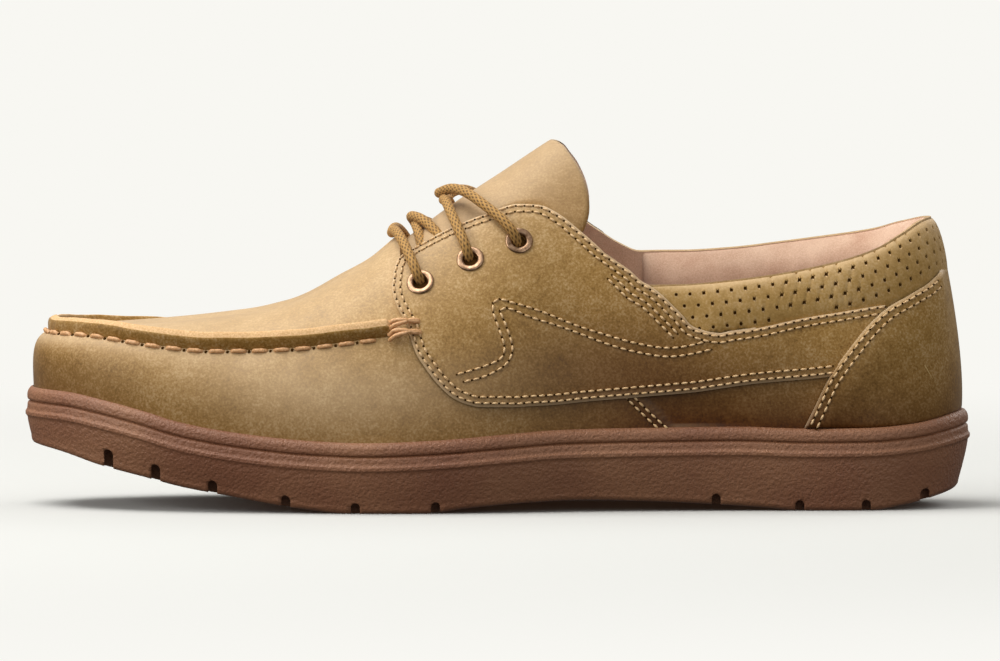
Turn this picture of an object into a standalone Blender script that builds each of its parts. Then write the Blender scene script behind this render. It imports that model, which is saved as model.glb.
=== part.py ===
"""Leather boat shoe, left foot, standing empty on its sole.

Frame: metres, +Z up, toe at -X, heel at +X, outer (little toe) side at -Y. The origin is on the
ground at the centre of the sole's box. Upper, overlays, tongue and padding are all cut from one
form, the last, which is worked out from length, ball width, instep and heel height.
"""

import math
from collections import namedtuple
from functools import lru_cache

import bmesh
import bpy
import numpy as np
from mathutils import Vector

# Driving sizes of the last and the sole
LENGTH = 0.300
BALL_WIDTH = 0.112
HEEL_WIDTH = 0.077
TOE_HEIGHT = 0.0573
INSTEP_HEIGHT = 0.080
HEEL_HEIGHT = 0.0915
TOE_SPRING = 0.0205
ARCH_RISE = 0.0037
HEEL_BEVEL = 0.0037
TOE_RIM = 0.0376
BALL_RIM = 0.0224
HEEL_RIM = 0.0262

# Thicknesses and clearances
WALL = 0.0020
OVERLAY = 0.0013
TONGUE_THICKNESS = 0.0028
PAD_THICKNESS = 0.0055
PAD_DEPTH = 0.022
INSOLE_THICKNESS = 0.0040
GAP = 0.0003
CUP_DEPTH = 0.0055
RIB_OUT = 0.0026
RIB_DROP = 0.0084
SOLE_TAPER = 0.0042

# Tread
NOTCH_WIDTH = 0.0029
NOTCH_HEIGHT = 0.0034
NOTCH_DEPTH = 0.011
GROOVE_WIDTH = 0.0030
GROOVE_DEPTH = 0.0022

# Eyelets and lace
EYELET_FLANGE = 0.0087
EYELET_BARREL = 0.0058
EYELET_HOLE = 0.0045
EYELET_PROUD = 0.0009
LACE_DIAMETER = 0.0031
LACE_REST = 0.0010

# Raised seam round the apron
SEAM_WIDTH = 0.0030
SEAM_HEIGHT = 0.0030

# Where the overlays start above the feather line, as a share of the way up the form
JUST_ABOVE_RIM = 0.014

# Mesh fineness: columns round the shoe and rows up the wall
COLUMNS = 60
ROWS = 11

# Plan outline of the sole's widest line. Outer and inner are shares of half the width they follow.
Plan = namedtuple("Plan", "along outer inner middle of")
PLAN = (
    Plan(0.00, 0.74, 0.80, 0.090, BALL_WIDTH),
    Plan(0.10, 0.84, 0.86, 0.070, BALL_WIDTH),
    Plan(0.20, 0.91, 0.93, 0.045, BALL_WIDTH),
    Plan(0.30, 0.98, 0.98, 0.015, BALL_WIDTH),
    Plan(0.37, 1.00, 0.96, -0.004, BALL_WIDTH),
    Plan(0.47, 0.94, 0.85, -0.020, BALL_WIDTH),
    Plan(0.60, 1.13, 0.95, -0.012, HEEL_WIDTH),
    Plan(0.75, 1.02, 0.96, 0.0, HEEL_WIDTH),
    Plan(0.87, 1.00, 1.00, 0.0, HEEL_WIDTH),
    Plan(1.00, 1.00, 1.00, 0.0, HEEL_WIDTH),
)
TOE_CAP, TOE_SQUARENESS = 0.22, 2.35
HEEL_CAP, HEEL_SQUARENESS = 0.15, 2.15

# Heights along the shoe. Each share is of the size that it follows.
Height = namedtuple("Height", "along share of")
GROUND = (
    Height(0.00, 1.00, TOE_SPRING),
    Height(0.04, 0.88, TOE_SPRING),
    Height(0.08, 0.70, TOE_SPRING),
    Height(0.125, 0.54, TOE_SPRING),
    Height(0.17, 0.38, TOE_SPRING),
    Height(0.22, 0.25, TOE_SPRING),
    Height(0.27, 0.12, TOE_SPRING),
    Height(0.31, 0.04, TOE_SPRING),
    Height(0.34, 0.00, TOE_SPRING),
    Height(0.42, 0.00, ARCH_RISE),
    Height(0.47, 0.45, ARCH_RISE),
    Height(0.53, 0.83, ARCH_RISE),
    Height(0.59, 1.00, ARCH_RISE),
    Height(0.65, 0.87, ARCH_RISE),
    Height(0.72, 0.60, ARCH_RISE),
    Height(0.78, 0.28, ARCH_RISE),
    Height(0.82, 0.00, ARCH_RISE),
    Height(0.89, 0.00, HEEL_BEVEL),
    Height(0.93, 0.45, HEEL_BEVEL),
    Height(0.96, 1.00, HEEL_BEVEL),
    Height(1.00, 1.90, HEEL_BEVEL),
)
RIM = (
    Height(0.00, 1.00, TOE_RIM),
    Height(0.04, 0.985, TOE_RIM),
    Height(0.08, 0.93, TOE_RIM),
    Height(0.125, 0.845, TOE_RIM),
    Height(0.16, 0.765, TOE_RIM),
    Height(0.20, 1.18, BALL_RIM),
    Height(0.25, 1.09, BALL_RIM),
    Height(0.30, 1.03, BALL_RIM),
    Height(0.36, 1.00, BALL_RIM),
    Height(0.43, 1.03, BALL_RIM),
    Height(0.50, 1.10, BALL_RIM),
    Height(0.57, 0.995, HEEL_RIM),
    Height(0.65, 1.01, HEEL_RIM),
    Height(0.75, 1.02, HEEL_RIM),
    Height(0.83, 0.995, HEEL_RIM),
    Height(0.89, 1.00, HEEL_RIM),
    Height(0.94, 1.04, HEEL_RIM),
    Height(1.00, 1.17, HEEL_RIM),
)
CREST = (
    Height(0.15, 1.000, TOE_HEIGHT),
    Height(0.20, 1.030, TOE_HEIGHT),
    Height(0.25, 1.075, TOE_HEIGHT),
    Height(0.30, 1.155, TOE_HEIGHT),
    Height(0.35, 0.940, INSTEP_HEIGHT),
    Height(0.375, 1.00, INSTEP_HEIGHT),
    Height(0.40, 1.080, INSTEP_HEIGHT),
    Height(0.45, 1.225, INSTEP_HEIGHT),
    Height(0.50, 1.350, INSTEP_HEIGHT),
    Height(0.55, 1.475, INSTEP_HEIGHT),
    Height(0.65, 1.70, INSTEP_HEIGHT),
    Height(0.75, 1.85, INSTEP_HEIGHT),
    Height(1.00, 1.87, INSTEP_HEIGHT),
)

# How each section of the last rises from the feather line and turns over to the crest line
Section = namedtuple("Section", "along lean shoulder flat")
SECTIONS = (
    Section(0.00, 0.018, 1.10, 1.00),
    Section(0.10, 0.035, 0.95, 0.80),
    Section(0.20, 0.035, 0.76, 0.62),
    Section(0.30, 0.030, 0.62, 0.50),
    Section(0.40, -0.035, 0.60, 0.42),
    Section(0.50, -0.060, 0.60, 0.45),
    Section(0.65, -0.010, 0.40, 0.51),
    Section(0.75, 0.027, 0.35, 0.55),
    Section(0.90, 0.020, 0.27, 0.50),
    Section(1.00, 0.040, 0.245, 0.48),
)
SPINE_TOE, SPINE_HEEL = 0.15, 0.867

# Top line of the throat and the collar, seen from each side
TopLine = namedtuple("TopLine", "along outer inner of")
TOP_LINE = (
    TopLine(0.390, 0.980, 0.980, INSTEP_HEIGHT),
    TopLine(0.443, 1.088, 1.088, INSTEP_HEIGHT),
    TopLine(0.485, 1.155, 1.155, INSTEP_HEIGHT),
    TopLine(0.525, 1.202, 1.202, INSTEP_HEIGHT),
    TopLine(0.542, 1.200, 1.203, INSTEP_HEIGHT),
    TopLine(0.5625, 1.168, 1.180, INSTEP_HEIGHT),
    TopLine(0.583, 1.110, 1.145, INSTEP_HEIGHT),
    TopLine(0.605, 1.040, 1.090, INSTEP_HEIGHT),
    TopLine(0.630, 0.832, 0.900, HEEL_HEIGHT),
    TopLine(0.651, 0.780, 0.872, HEEL_HEIGHT),
    TopLine(0.695, 0.782, 0.872, HEEL_HEIGHT),
    TopLine(0.750, 0.798, 0.882, HEEL_HEIGHT),
    TopLine(0.800, 0.820, 0.902, HEEL_HEIGHT),
    TopLine(0.857, 0.858, 0.928, HEEL_HEIGHT),
    TopLine(0.900, 0.900, 0.955, HEEL_HEIGHT),
    TopLine(0.929, 0.950, 0.985, HEEL_HEIGHT),
    TopLine(0.955, 1.000, 1.000, HEEL_HEIGHT),
    TopLine(1.000, 1.010, 1.010, HEEL_HEIGHT),
)
THROAT_FRONT = 0.397

# The sole's side from rim to rib: shares of the rib's drop and of how far the rib stands out
SideStep = namedtuple("SideStep", "name drop out")
SOLE_SIDE = (
    SideStep("rim", 0.00, 0.10),
    SideStep("bead top", 0.12, 0.58),
    SideStep("bead", 0.32, 0.78),
    SideStep("groove top", 0.47, 0.70),
    SideStep("groove", 0.53, 0.42),
    SideStep("band top", 0.59, 0.68),
    SideStep("band", 0.84, 0.80),
    SideStep("rib", 1.00, 1.00),
    SideStep("rib underside", 1.14, 0.76),
)
NOTCHES_ALONG = [0.091, 0.141, 0.201, 0.278, 0.351, 0.435, 0.73, 0.818, 0.888, 0.95]

# Side outlines of what is sewn on, as shares of length and of instep height
Point = namedtuple("Point", "along up")
QUARTER_OUTLINE = (
    Point(0.402, 1.10),
    Point(0.392, 0.93),
    Point(0.388, 0.87),
    Point(0.396, 0.79),
    Point(0.411, 0.69),
    Point(0.425, 0.60),
    Point(0.446, 0.515),
    Point(0.474, 0.448),
    Point(0.500, 0.418),
    Point(0.600, 0.425),
    Point(0.700, 0.448),
    Point(0.800, 0.490),
    Point(0.900, 0.540),
    Point(0.950, 0.830),
    Point(0.880, 0.792),
    Point(0.800, 0.745),
    Point(0.717, 0.704),
    Point(0.690, 0.775),
    Point(0.665, 0.875),
    Point(0.640, 1.00),
    Point(0.610, 1.25),
    Point(0.560, 1.40),
    Point(0.480, 1.40),
)
COUNTER_FRONT = (
    Point(0.826, 0.20),
    Point(0.826, 0.33),
    Point(0.838, 0.43),
    Point(0.852, 0.522),
    Point(0.876, 0.617),
    Point(0.910, 0.715),
    Point(0.928, 0.800),
    Point(0.952, 0.865),
    Point(0.975, 0.915),
    Point(1.050, 0.930),
    Point(1.050, 0.20),
)
TONGUE_OUTLINE = (
    Point(0.392, 0.90),
    Point(0.392, 1.40),
    Point(0.530, 1.60),
    Point(0.556, 1.470),
    Point(0.572, 1.425),
    Point(0.584, 1.360),
    Point(0.594, 1.290),
    Point(0.597, 1.230),
    Point(0.596, 1.160),
    Point(0.586, 1.080),
    Point(0.560, 0.990),
    Point(0.520, 0.930),
)
EYELETS = [Point(0.419, 0.905), Point(0.4715, 0.995), Point(0.5227, 1.066)]
SEAM = (
    Point(0.0265, 0.720),
    Point(0.053, 0.712),
    Point(0.074, 0.702),
    Point(0.119, 0.673),
    Point(0.160, 0.653),
    Point(0.200, 0.644),
    Point(0.250, 0.648),
    Point(0.308, 0.664),
    Point(0.345, 0.682),
    Point(0.383, 0.700),
)

COLOURS = {
    "leather": ((0.43, 0.29, 0.11, 1), 0.55),
    "leather_edge": ((0.70, 0.45, 0.20, 1), 0.8),
    "lining": ((0.46, 0.27, 0.17, 1), 0.9),
    "rubber": ((0.20, 0.09, 0.05, 1), 0.6),
    "brass": ((0.35, 0.20, 0.10, 1), 0.35),
    "lace": ((0.50, 0.30, 0.09, 1), 0.8),
}


FINE = np.linspace(-0.1, 1.1, 6001)

# Where the opening's cutter is split along the collar, as shares of the length
CUTTER_SHARES = (0.67, 0.72, 0.775, 0.83, 0.88, 0.915, 0.942, 0.975, 1.08)

# How far cutters run past the faces they cut
CUT_PAST = 0.004
GROOVE_CUT_PAST = 0.003

# Each quarter stops this short of the middle at the heel, under the counter
QUARTER_PART = 0.004

# The sole's lip, and its wall as shares of its fall and of its taper
LIP_ROUND = 0.0002
WALL_STEPS = ((0.5, 0.42), (0.86, 0.80))
BOTTOM_INSET = 1.25
RUNGS = 4
INSOLE_ROUND = 0.0012

# The padded lining's front end as a share of the length, and its section as (fullness, height)
PAD_FRONT = 0.665
PAD_SECTION = ((0.0, 0.0), (0.0, 0.35), (0.0, 0.7), (0.0, 1.0), (0.45, 0.93), (0.95, 0.72), (0.90, 0.35))

# The raised seam's section as shares of its width and height
SEAM_SECTION = ((-0.5, 0.0), (0.5, 0.0), (0.42, 0.85), (0.0, 1.0), (-0.45, 0.75))

# Where the lace crosses the crest, and where it passes the eyestays' edges
LACE_BAR_ALONG = 0.392
LACE_LOW_ALONG = 0.4125
LACE_HIGH_ALONG = 0.4420
LACE_LOW_FRONT, LACE_LOW_REAR = Point(0.4150, 1.065), Point(0.4330, 1.115)
LACE_HIGH_FRONT, LACE_HIGH_REAR = Point(0.4560, 1.130), Point(0.4870, 1.180)


def smooth(xs, ys, at):
    """A curve through the rows of a table that never overshoots them."""
    xs, ys, at = np.asarray(xs, float), np.asarray(ys, float), np.asarray(at, float)
    step = np.diff(xs)
    rise = np.diff(ys) / step
    slope = np.zeros(len(xs))
    same = rise[:-1] * rise[1:] > 0
    before = 2 * step[1:] + step[:-1]
    after = step[1:] + 2 * step[:-1]
    first, second = np.where(same, rise[:-1], 1), np.where(same, rise[1:], 1)
    slope[1:-1] = np.where(same, (before + after) / (before / first + after / second), 0)
    slope[0], slope[-1] = rise[0], rise[-1]
    at = np.clip(at, xs[0], xs[-1])
    i = np.clip(np.searchsorted(xs, at, side="right") - 1, 0, len(xs) - 2)
    t = (at - xs[i]) / step[i]
    return (
        ys[i] * (1 + 2 * t) * (1 - t) ** 2
        + slope[i] * step[i] * t * (1 - t) ** 2
        + ys[i + 1] * t * t * (3 - 2 * t)
        + slope[i + 1] * step[i] * t * t * (t - 1)
    )


@lru_cache(maxsize=None)
def sampled(rows, name):
    """One named column of a table as a smooth curve, sampled finely; each row follows its own size."""
    values = [getattr(row, name) * getattr(row, "of", 1.0) for row in rows]
    return smooth([row.along for row in rows], values, FINE)


def column(rows, name, at):
    return np.interp(at, FINE, sampled(rows, name))


def along(x):
    return np.asarray(x, float) / LENGTH + 0.5


def x_at(share):
    return (np.asarray(share, float) - 0.5) * LENGTH


def half_width(share, side):
    """Distance of the sole's widest line from the middle line, on side 'outer' or 'inner'."""
    toe = np.clip(1 - share / TOE_CAP, 0, 1)
    heel = np.clip(1 - (1 - share) / HEEL_CAP, 0, 1)
    round_toe = (1 - toe**TOE_SQUARENESS) ** (1 / TOE_SQUARENESS)
    round_heel = (1 - heel**HEEL_SQUARENESS) ** (1 / HEEL_SQUARENESS)
    return 0.5 * column(PLAN, side, share) * round_toe * round_heel


def middle(share):
    return 0.5 * column(PLAN, "middle", share)


def raw_outline(turn):
    """The sole's widest line. turn runs from the toe round the outer side to the heel and back."""
    turn = np.asarray(turn, float)
    share = 0.5 - 0.5 * np.cos(turn)
    outer = np.sin(turn) >= 0
    width = np.where(outer, -half_width(share, "outer"), half_width(share, "inner"))
    return np.stack([x_at(share), middle(share) + width], axis=-1)


ALL_TURNS = np.linspace(0, 2 * math.pi, 2000, endpoint=False)
SIDE_MOST = raw_outline(ALL_TURNS)[:, 1]
CENTRE_Y = 0.5 * (SIDE_MOST.min() + SIDE_MOST.max())


def outline(turn, inward=0.0):
    """The sole's widest line moved inward along its own normal, centred on the origin."""
    small = 1e-3
    here = raw_outline(turn)
    ahead = raw_outline(np.asarray(turn) + small) - raw_outline(np.asarray(turn) - small)
    ahead /= np.linalg.norm(ahead, axis=-1, keepdims=True)
    outward = np.stack([ahead[..., 1], -ahead[..., 0]], axis=-1)
    return here - np.asarray(inward)[..., None] * outward - np.array([0, CENTRE_Y])


def feather_inset(turn):
    """How far the upper stands inside the widest line: a little more under the heel counter."""
    share = 0.5 - 0.5 * np.cos(turn)
    t = np.clip((share - 0.76) / 0.09, 0, 1)
    return RIB_OUT + (OVERLAY + GAP) * t * t * (3 - 2 * t)


def ground_at(x):
    return column(GROUND, "share", along(x))


def rim_at(x):
    return column(RIM, "share", along(x))


def rim_round(turn):
    """Height of the sole's rim round the shoe."""
    return rim_at(outline(turn)[..., 0])


def crest_at(x):
    return column(CREST, "share", along(x))


def last_form(turn, up):
    """A point of the last's outer form: up is 0 at the feather line and 1 on the crest line."""
    turn, up = np.broadcast_arrays(np.asarray(turn, float), np.asarray(up, float))
    share = 0.5 - 0.5 * np.cos(turn)
    foot = outline(turn, feather_inset(turn))
    foot_z = rim_round(turn)
    spine_share = SPINE_TOE + (SPINE_HEEL - SPINE_TOE) * share
    top_x = x_at(spine_share)
    top_y = middle(spine_share) - CENTRE_Y
    top_z = crest_at(top_x)
    span = np.stack([foot[..., 0] - top_x, foot[..., 1] - top_y], axis=-1)
    reach = np.linalg.norm(span, axis=-1)
    away = span / reach[..., None]
    slope = (crest_at(top_x + 1e-4) - crest_at(top_x - 1e-4)) / 2e-4
    lean = column(SECTIONS, "lean", share) * BALL_WIDTH / 2
    shoulder = column(SECTIONS, "shoulder", share)
    flat = column(SECTIONS, "flat", share)
    t = up[..., None]
    xy0 = foot
    xy1 = foot + away * lean[..., None]
    xy2 = np.stack([top_x, top_y], axis=-1) + span * flat[..., None]
    xy3 = np.stack([top_x, top_y], axis=-1)
    xy = xy0 * (1 - t) ** 3 + 3 * xy1 * t * (1 - t) ** 2 + 3 * xy2 * t * t * (1 - t) + xy3 * t**3
    z1 = foot_z + shoulder * (top_z - foot_z)
    z2 = top_z + slope * away[..., 0] * reach * flat * 0.3
    z = foot_z * (1 - up) ** 3 + 3 * z1 * up * (1 - up) ** 2 + 3 * z2 * up * up * (1 - up) + top_z * up**3
    return np.concatenate([xy, z[..., None]], axis=-1)


def last_normal(turn, up):
    small = 1e-3
    up = np.clip(up, small, 0.96)
    round_it = last_form(turn + small, up) - last_form(turn - small, up)
    rise = last_form(turn, up + small) - last_form(turn, up - small)
    normal = np.cross(round_it, rise)
    return normal / np.linalg.norm(normal, axis=-1, keepdims=True)


def last_point(turn, up, out):
    return last_form(turn, up) + out * last_normal(turn, up)


def find_on_side(x, z, side, out=0.0):
    """(turn, up) where the form moved out has this x and z, on side -1 (outer) or +1 (inner)."""
    guess = np.array([math.acos(np.clip(1 - 2 * along(x), -0.999, 0.999)), 0.4])
    if side > 0:
        guess[0] = 2 * math.pi - guess[0]
    target = np.array([x, z])
    for _ in range(40):
        here = last_point(guess[0], guess[1], out)[[0, 2]]
        error = target - here
        small = 1e-4
        by_turn = (last_point(guess[0] + small, guess[1], out)[[0, 2]] - here) / small
        by_up = (last_point(guess[0], guess[1] + small, out)[[0, 2]] - here) / small
        if np.abs(error).max() < 1e-7:
            break
        move = np.linalg.lstsq(np.stack([by_turn, by_up], axis=1), error, rcond=None)[0]
        guess += np.clip(move, -0.15, 0.15)
        guess[1] = np.clip(guess[1], 0.0, 0.99)
    return guess


def new_object(name, points, faces, material):
    mesh = bpy.data.meshes.new(name)
    mesh.from_pydata([tuple(map(float, p)) for p in points], [], faces)
    made = bmesh.new()
    made.from_mesh(mesh)
    bmesh.ops.recalc_face_normals(made, faces=made.faces)
    made.to_mesh(mesh)
    made.free()
    mesh.shade_smooth()
    mesh.set_sharp_from_angle(angle=math.radians(35))
    if material:
        mesh.materials.append(materials[material])
    thing = bpy.data.objects.new(name, mesh)
    bpy.context.scene.collection.objects.link(thing)
    return thing


def as_guide(thing):
    thing.hide_render = True
    thing.display_type = "WIRE"
    return thing


def boolean(thing, other, operation):
    modifier = thing.modifiers.new(operation.title(), "BOOLEAN")
    modifier.operation = operation
    modifier.solver = "EXACT"
    modifier.object = other


def grid_faces(rows, columns, closed):
    """Quads of a grid of points laid out row by row, closed round its columns or open."""
    last = columns if closed else columns - 1
    faces = []
    for row in range(rows - 1):
        for i in range(last):
            j = (i + 1) % columns
            here, above = row * columns, (row + 1) * columns
            faces.append((here + i, here + j, above + j, above + i))
    return faces


def form_points(out, skirt):
    """Rows of the last's form moved out by a distance: skirt, then wall, then the crest line."""
    turns = 2 * math.pi * np.arange(COLUMNS) / COLUMNS
    ups = (np.arange(ROWS) / ROWS) ** 0.92
    rows = []
    if skirt:
        foot = last_form(turns, 0.0)
        foot[:, :2] = outline(turns, feather_inset(turns) - out)
        down = foot.copy()
        down[:, 2] -= skirt
        rows += [down, foot]
    else:
        rows.append(last_point(turns, JUST_ABOVE_RIM, out))
    for up in ups[1:]:
        rows.append(last_point(turns, up, out))
    half = COLUMNS // 2
    crest = []
    for i in range(half + 1):
        there = last_form(turns[i], 1.0)
        normal = last_normal(turns[i], 1.0) + last_normal(-turns[i], 1.0)
        crest.append(there + out * normal / np.linalg.norm(normal))
    return rows, crest


def form_mesh(out, skirt):
    """Points and faces of the last's form, open underneath. Nested forms are split alike."""
    rows, crest = form_points(out, skirt)
    points = [p for row in rows for p in row] + crest
    faces = grid_faces(len(rows), COLUMNS, True)
    top = (len(rows) - 1) * COLUMNS
    spine = len(rows) * COLUMNS
    for i in range(COLUMNS):
        j = (i + 1) % COLUMNS
        faces.append((top + i, top + j, spine + min(j, COLUMNS - j), spine + min(i, COLUMNS - i)))
    halves = [(a, b, c) for a, b, c, d in faces] + [(a, c, d) for a, b, c, d in faces]
    return points, halves


def shell(name, outside, inside, material, skirt=0.0):
    """A closed shell between two forms of the last, open underneath."""
    outer_points, outer_faces = form_mesh(outside, skirt)
    inner_points, inner_faces = form_mesh(inside, skirt)
    count = len(outer_points)
    faces = list(outer_faces)
    faces += [tuple(count + i for i in reversed(face)) for face in inner_faces]
    for i in range(COLUMNS):
        j = (i + 1) % COLUMNS
        faces.append((j, i, count + i, count + j))
    return new_object(name, outer_points + inner_points, faces, material)


def side_prism(name, outline_points, y_from, y_to, ahead=0.0):
    """A guide: a side outline pushed through from one y to another, and moved ahead if asked."""
    flat = [(x_at(p.along) - ahead, p.up * INSTEP_HEIGHT) for p in outline_points]
    count = len(flat)
    points = [(x, y_from, z) for x, z in flat] + [(x, y_to, z) for x, z in flat]
    faces = [tuple(range(count)), tuple(range(2 * count - 1, count - 1, -1))]
    for i in range(count):
        j = (i + 1) % count
        faces.append((i, j, count + j, count + i))
    return as_guide(new_object(name, points, faces, None))


def top_line(spots):
    """Height of the top line over points of the shoe, the same rule as the opening's cutter."""
    share = along(spots[:, 0])
    side = np.clip(0.5 + spots[:, 1] / (BALL_WIDTH / 2), 0, 1)
    return column(TOP_LINE, "outer", share) * (1 - side) + column(TOP_LINE, "inner", share) * side


def top_cutter(name):
    """A guide above the top line, ruled from the outer side's line to the inner side's."""
    shares = [row.along for row in TOP_LINE if row.along > THROAT_FRONT]
    shares = sorted({THROAT_FRONT, *shares, *CUTTER_SHARES})
    reach, high = BALL_WIDTH, 3 * INSTEP_HEIGHT
    points, faces = [], []
    for share in shares:
        x = float(x_at(share))
        low = float(column(TOP_LINE, "outer", share))
        low_in = float(column(TOP_LINE, "inner", share))
        points += [(x, -reach, low), (x, -reach / 4, low), (x, reach / 4, low_in), (x, reach, low_in)]
        points += [(x, reach, high), (x, -reach, high)]
    sides = 6
    for k in range(len(shares) - 1):
        for i in range(sides):
            j = (i + 1) % sides
            faces.append((k * sides + i, k * sides + j, (k + 1) * sides + j, (k + 1) * sides + i))
    end = (len(shares) - 1) * sides
    faces.append(tuple(range(sides)))
    faces.append(tuple(range(end + sides - 1, end - 1, -1)))
    return as_guide(new_object(name, points, faces, None))


def make_materials():
    found = {}
    for name, (colour, roughness) in COLOURS.items():
        material = bpy.data.materials.new(name)
        material.use_nodes = True
        shader = material.node_tree.nodes["Principled BSDF"]
        shader.inputs["Base Color"].default_value = colour
        shader.inputs["Roughness"].default_value = roughness
        shader.inputs["Metallic"].default_value = 1.0 if name == "brass" else 0.0
        found[name] = material
    return found


def sole_rows():
    """Rows round the sole from the cup's floor, over the rim and down the side to the bottom edge."""
    turns = 2 * math.pi * np.arange(COLUMNS) / COLUMNS
    inset = feather_inset(turns)

    def row(inward, z):
        return np.concatenate([outline(turns, inward), z[:, None]], axis=1)

    edge = outline(turns)
    rim = rim_round(turns)
    rows = [row(inset - GAP, rim - CUP_DEPTH), row(inset - GAP, rim - LIP_ROUND)]
    for step in SOLE_SIDE:
        rows.append(row(RIB_OUT * (1 - step.out), rim - step.drop * RIB_DROP))
    rib_low = rim - SOLE_SIDE[-1].drop * RIB_DROP
    start = RIB_OUT * (1 - SOLE_SIDE[-1].out)
    for fall, inward in WALL_STEPS:
        bottom = ground_at(edge[:, 0])
        rows.append(row(start + SOLE_TAPER * inward, rib_low + (bottom - rib_low) * fall))
    last = row(start + SOLE_TAPER * BOTTOM_INSET, rim)
    last[:, 2] = ground_at(last[:, 0])
    rows.append(last)
    return rows


def ladder(ring, lift, across, height_of):
    """Cross rows that close a ring of points: each joins an outer point to its inner partner."""
    half = COLUMNS // 2
    rows = []
    for i in range(1, half):
        a, b = ring[i], ring[COLUMNS - i]
        rows.append([a + (b - a) * k / across for k in range(1, across)])
    for line in rows:
        for p in line:
            p[2] = height_of(p[0]) + lift
    return rows


def close_ring(start, ring, across, height_of, lift, points, faces, flip):
    """Closes a ring of the mesh with a ladder of quads, its rows running across the shoe."""
    rows = ladder(ring, lift, across, height_of)
    first = len(points)
    for line in rows:
        points.extend(line)
    half = COLUMNS // 2

    def index(i, k):
        if k == 0 or i in (0, half):
            return start + i
        if k == across:
            return start + COLUMNS - i
        return first + (i - 1) * (across - 1) + k - 1

    for i in range(half):
        for k in range(across):
            corners = [index(i, k), index(i + 1, k), index(i + 1, k + 1), index(i, k + 1)]
            face = []
            for c in corners:
                if c not in face:
                    face.append(c)
            faces.append(tuple(face[::-1] if flip else face))


def make_sole():
    rows = sole_rows()
    points = [p.copy() for row in rows for p in row]
    faces = grid_faces(len(rows), COLUMNS, True)
    close_ring(0, rows[0], RUNGS, rim_at, -CUP_DEPTH, points, faces, True)
    bottom = (len(rows) - 1) * COLUMNS
    close_ring(bottom, rows[-1], RUNGS, ground_at, 0.0, points, faces, False)
    sole = new_object("sole", points, faces, "rubber")
    boolean(sole, make_notches(), "DIFFERENCE")
    boolean(sole, make_tread_groove(), "DIFFERENCE")
    return sole


def make_notches():
    """Guide: round-topped slots in from the bottom edge on both sides."""
    points, faces = [], []
    arc = [(math.cos(a), math.sin(a)) for a in np.linspace(0, math.pi, 6)]
    for share in NOTCHES_ALONG:
        x = float(x_at(share))
        base = float(ground_at(x))
        radius = NOTCH_WIDTH / 2
        slope = float(ground_at(x + 0.002) - ground_at(x - 0.002)) / 0.004
        section = [(radius, -CUT_PAST)]
        section += [(radius * c, NOTCH_HEIGHT - radius + radius * s) for c, s in arc]
        section += [(-radius, -CUT_PAST)]
        for name, sign in (("outer", -1), ("inner", 1)):
            edge = sign * float(half_width(share, name)) + float(middle(share)) - CENTRE_Y
            ys = (edge + sign * CUT_PAST, edge - sign * NOTCH_DEPTH)
            first = len(points)
            for y in ys:
                points += [(x + a, y, base + b + slope * a) for a, b in section]
            count = len(section)
            faces.append(tuple(range(first, first + count)))
            faces.append(tuple(range(first + 2 * count - 1, first + count - 1, -1)))
            for i in range(count):
                j = (i + 1) % count
                faces.append((first + i, first + j, first + count + j, first + count + i))
    return as_guide(new_object("notch_guide", points, faces, None))


def make_tread_groove():
    """Guide: one groove round the tread that parts the edge lugs from the middle."""
    turns = 2 * math.pi * np.arange(COLUMNS) / COLUMNS
    inward = NOTCH_DEPTH + GROOVE_WIDTH * 0.2
    rings = []
    section = (
        (0, -GROOVE_CUT_PAST),
        (0, GROOVE_DEPTH),
        (GROOVE_WIDTH, GROOVE_DEPTH),
        (GROOVE_WIDTH, -GROOVE_CUT_PAST),
    )
    for extra, lift in section:
        ring = np.zeros((COLUMNS, 3))
        ring[:, :2] = outline(turns, inward + extra)
        ring[:, 2] = ground_at(ring[:, 0]) + lift
        rings.append(ring)
    points = [p for ring in rings for p in ring]
    faces = []
    for k in range(4):
        for i in range(COLUMNS):
            j = (i + 1) % COLUMNS
            m = (k + 1) % 4
            faces.append((k * COLUMNS + i, k * COLUMNS + j, m * COLUMNS + j, m * COLUMNS + i))
    return as_guide(new_object("groove_guide", points, faces, None))


def make_insole():
    turns = 2 * math.pi * np.arange(COLUMNS) / COLUMNS
    inset = feather_inset(turns) + WALL + GAP
    rows = []
    for inward, lift in ((0.0, 0.0), (0.0, INSOLE_THICKNESS * 0.7), (INSOLE_ROUND, INSOLE_THICKNESS)):
        ring = np.zeros((COLUMNS, 3))
        ring[:, :2] = outline(turns, inset + inward)
        ring[:, 2] = rim_round(turns) - CUP_DEPTH + 2 * GAP + lift
        rows.append(ring)
    points = [p.copy() for row in rows for p in row]
    faces = grid_faces(len(rows), COLUMNS, True)
    base = 2 * GAP - CUP_DEPTH
    close_ring(0, rows[0], RUNGS, rim_at, base, points, faces, True)
    top = 2 * COLUMNS
    close_ring(top, rows[-1], RUNGS, rim_at, base + INSOLE_THICKNESS, points, faces, False)
    return new_object("insole", points, faces, "lining")


def eyelet_places():
    """Centre on the overlay's face and outward normal of each eyelet, by side and row."""
    places = {}
    for side, name in ((-1, "outer"), (1, "inner")):
        for row, point in enumerate(EYELETS):
            face = OVERLAY + GAP
            turn, up = find_on_side(float(x_at(point.along)), point.up * INSTEP_HEIGHT, side, face)
            places[name, row] = (last_point(turn, up, face), last_normal(turn, up), turn, up)
    return places


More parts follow.
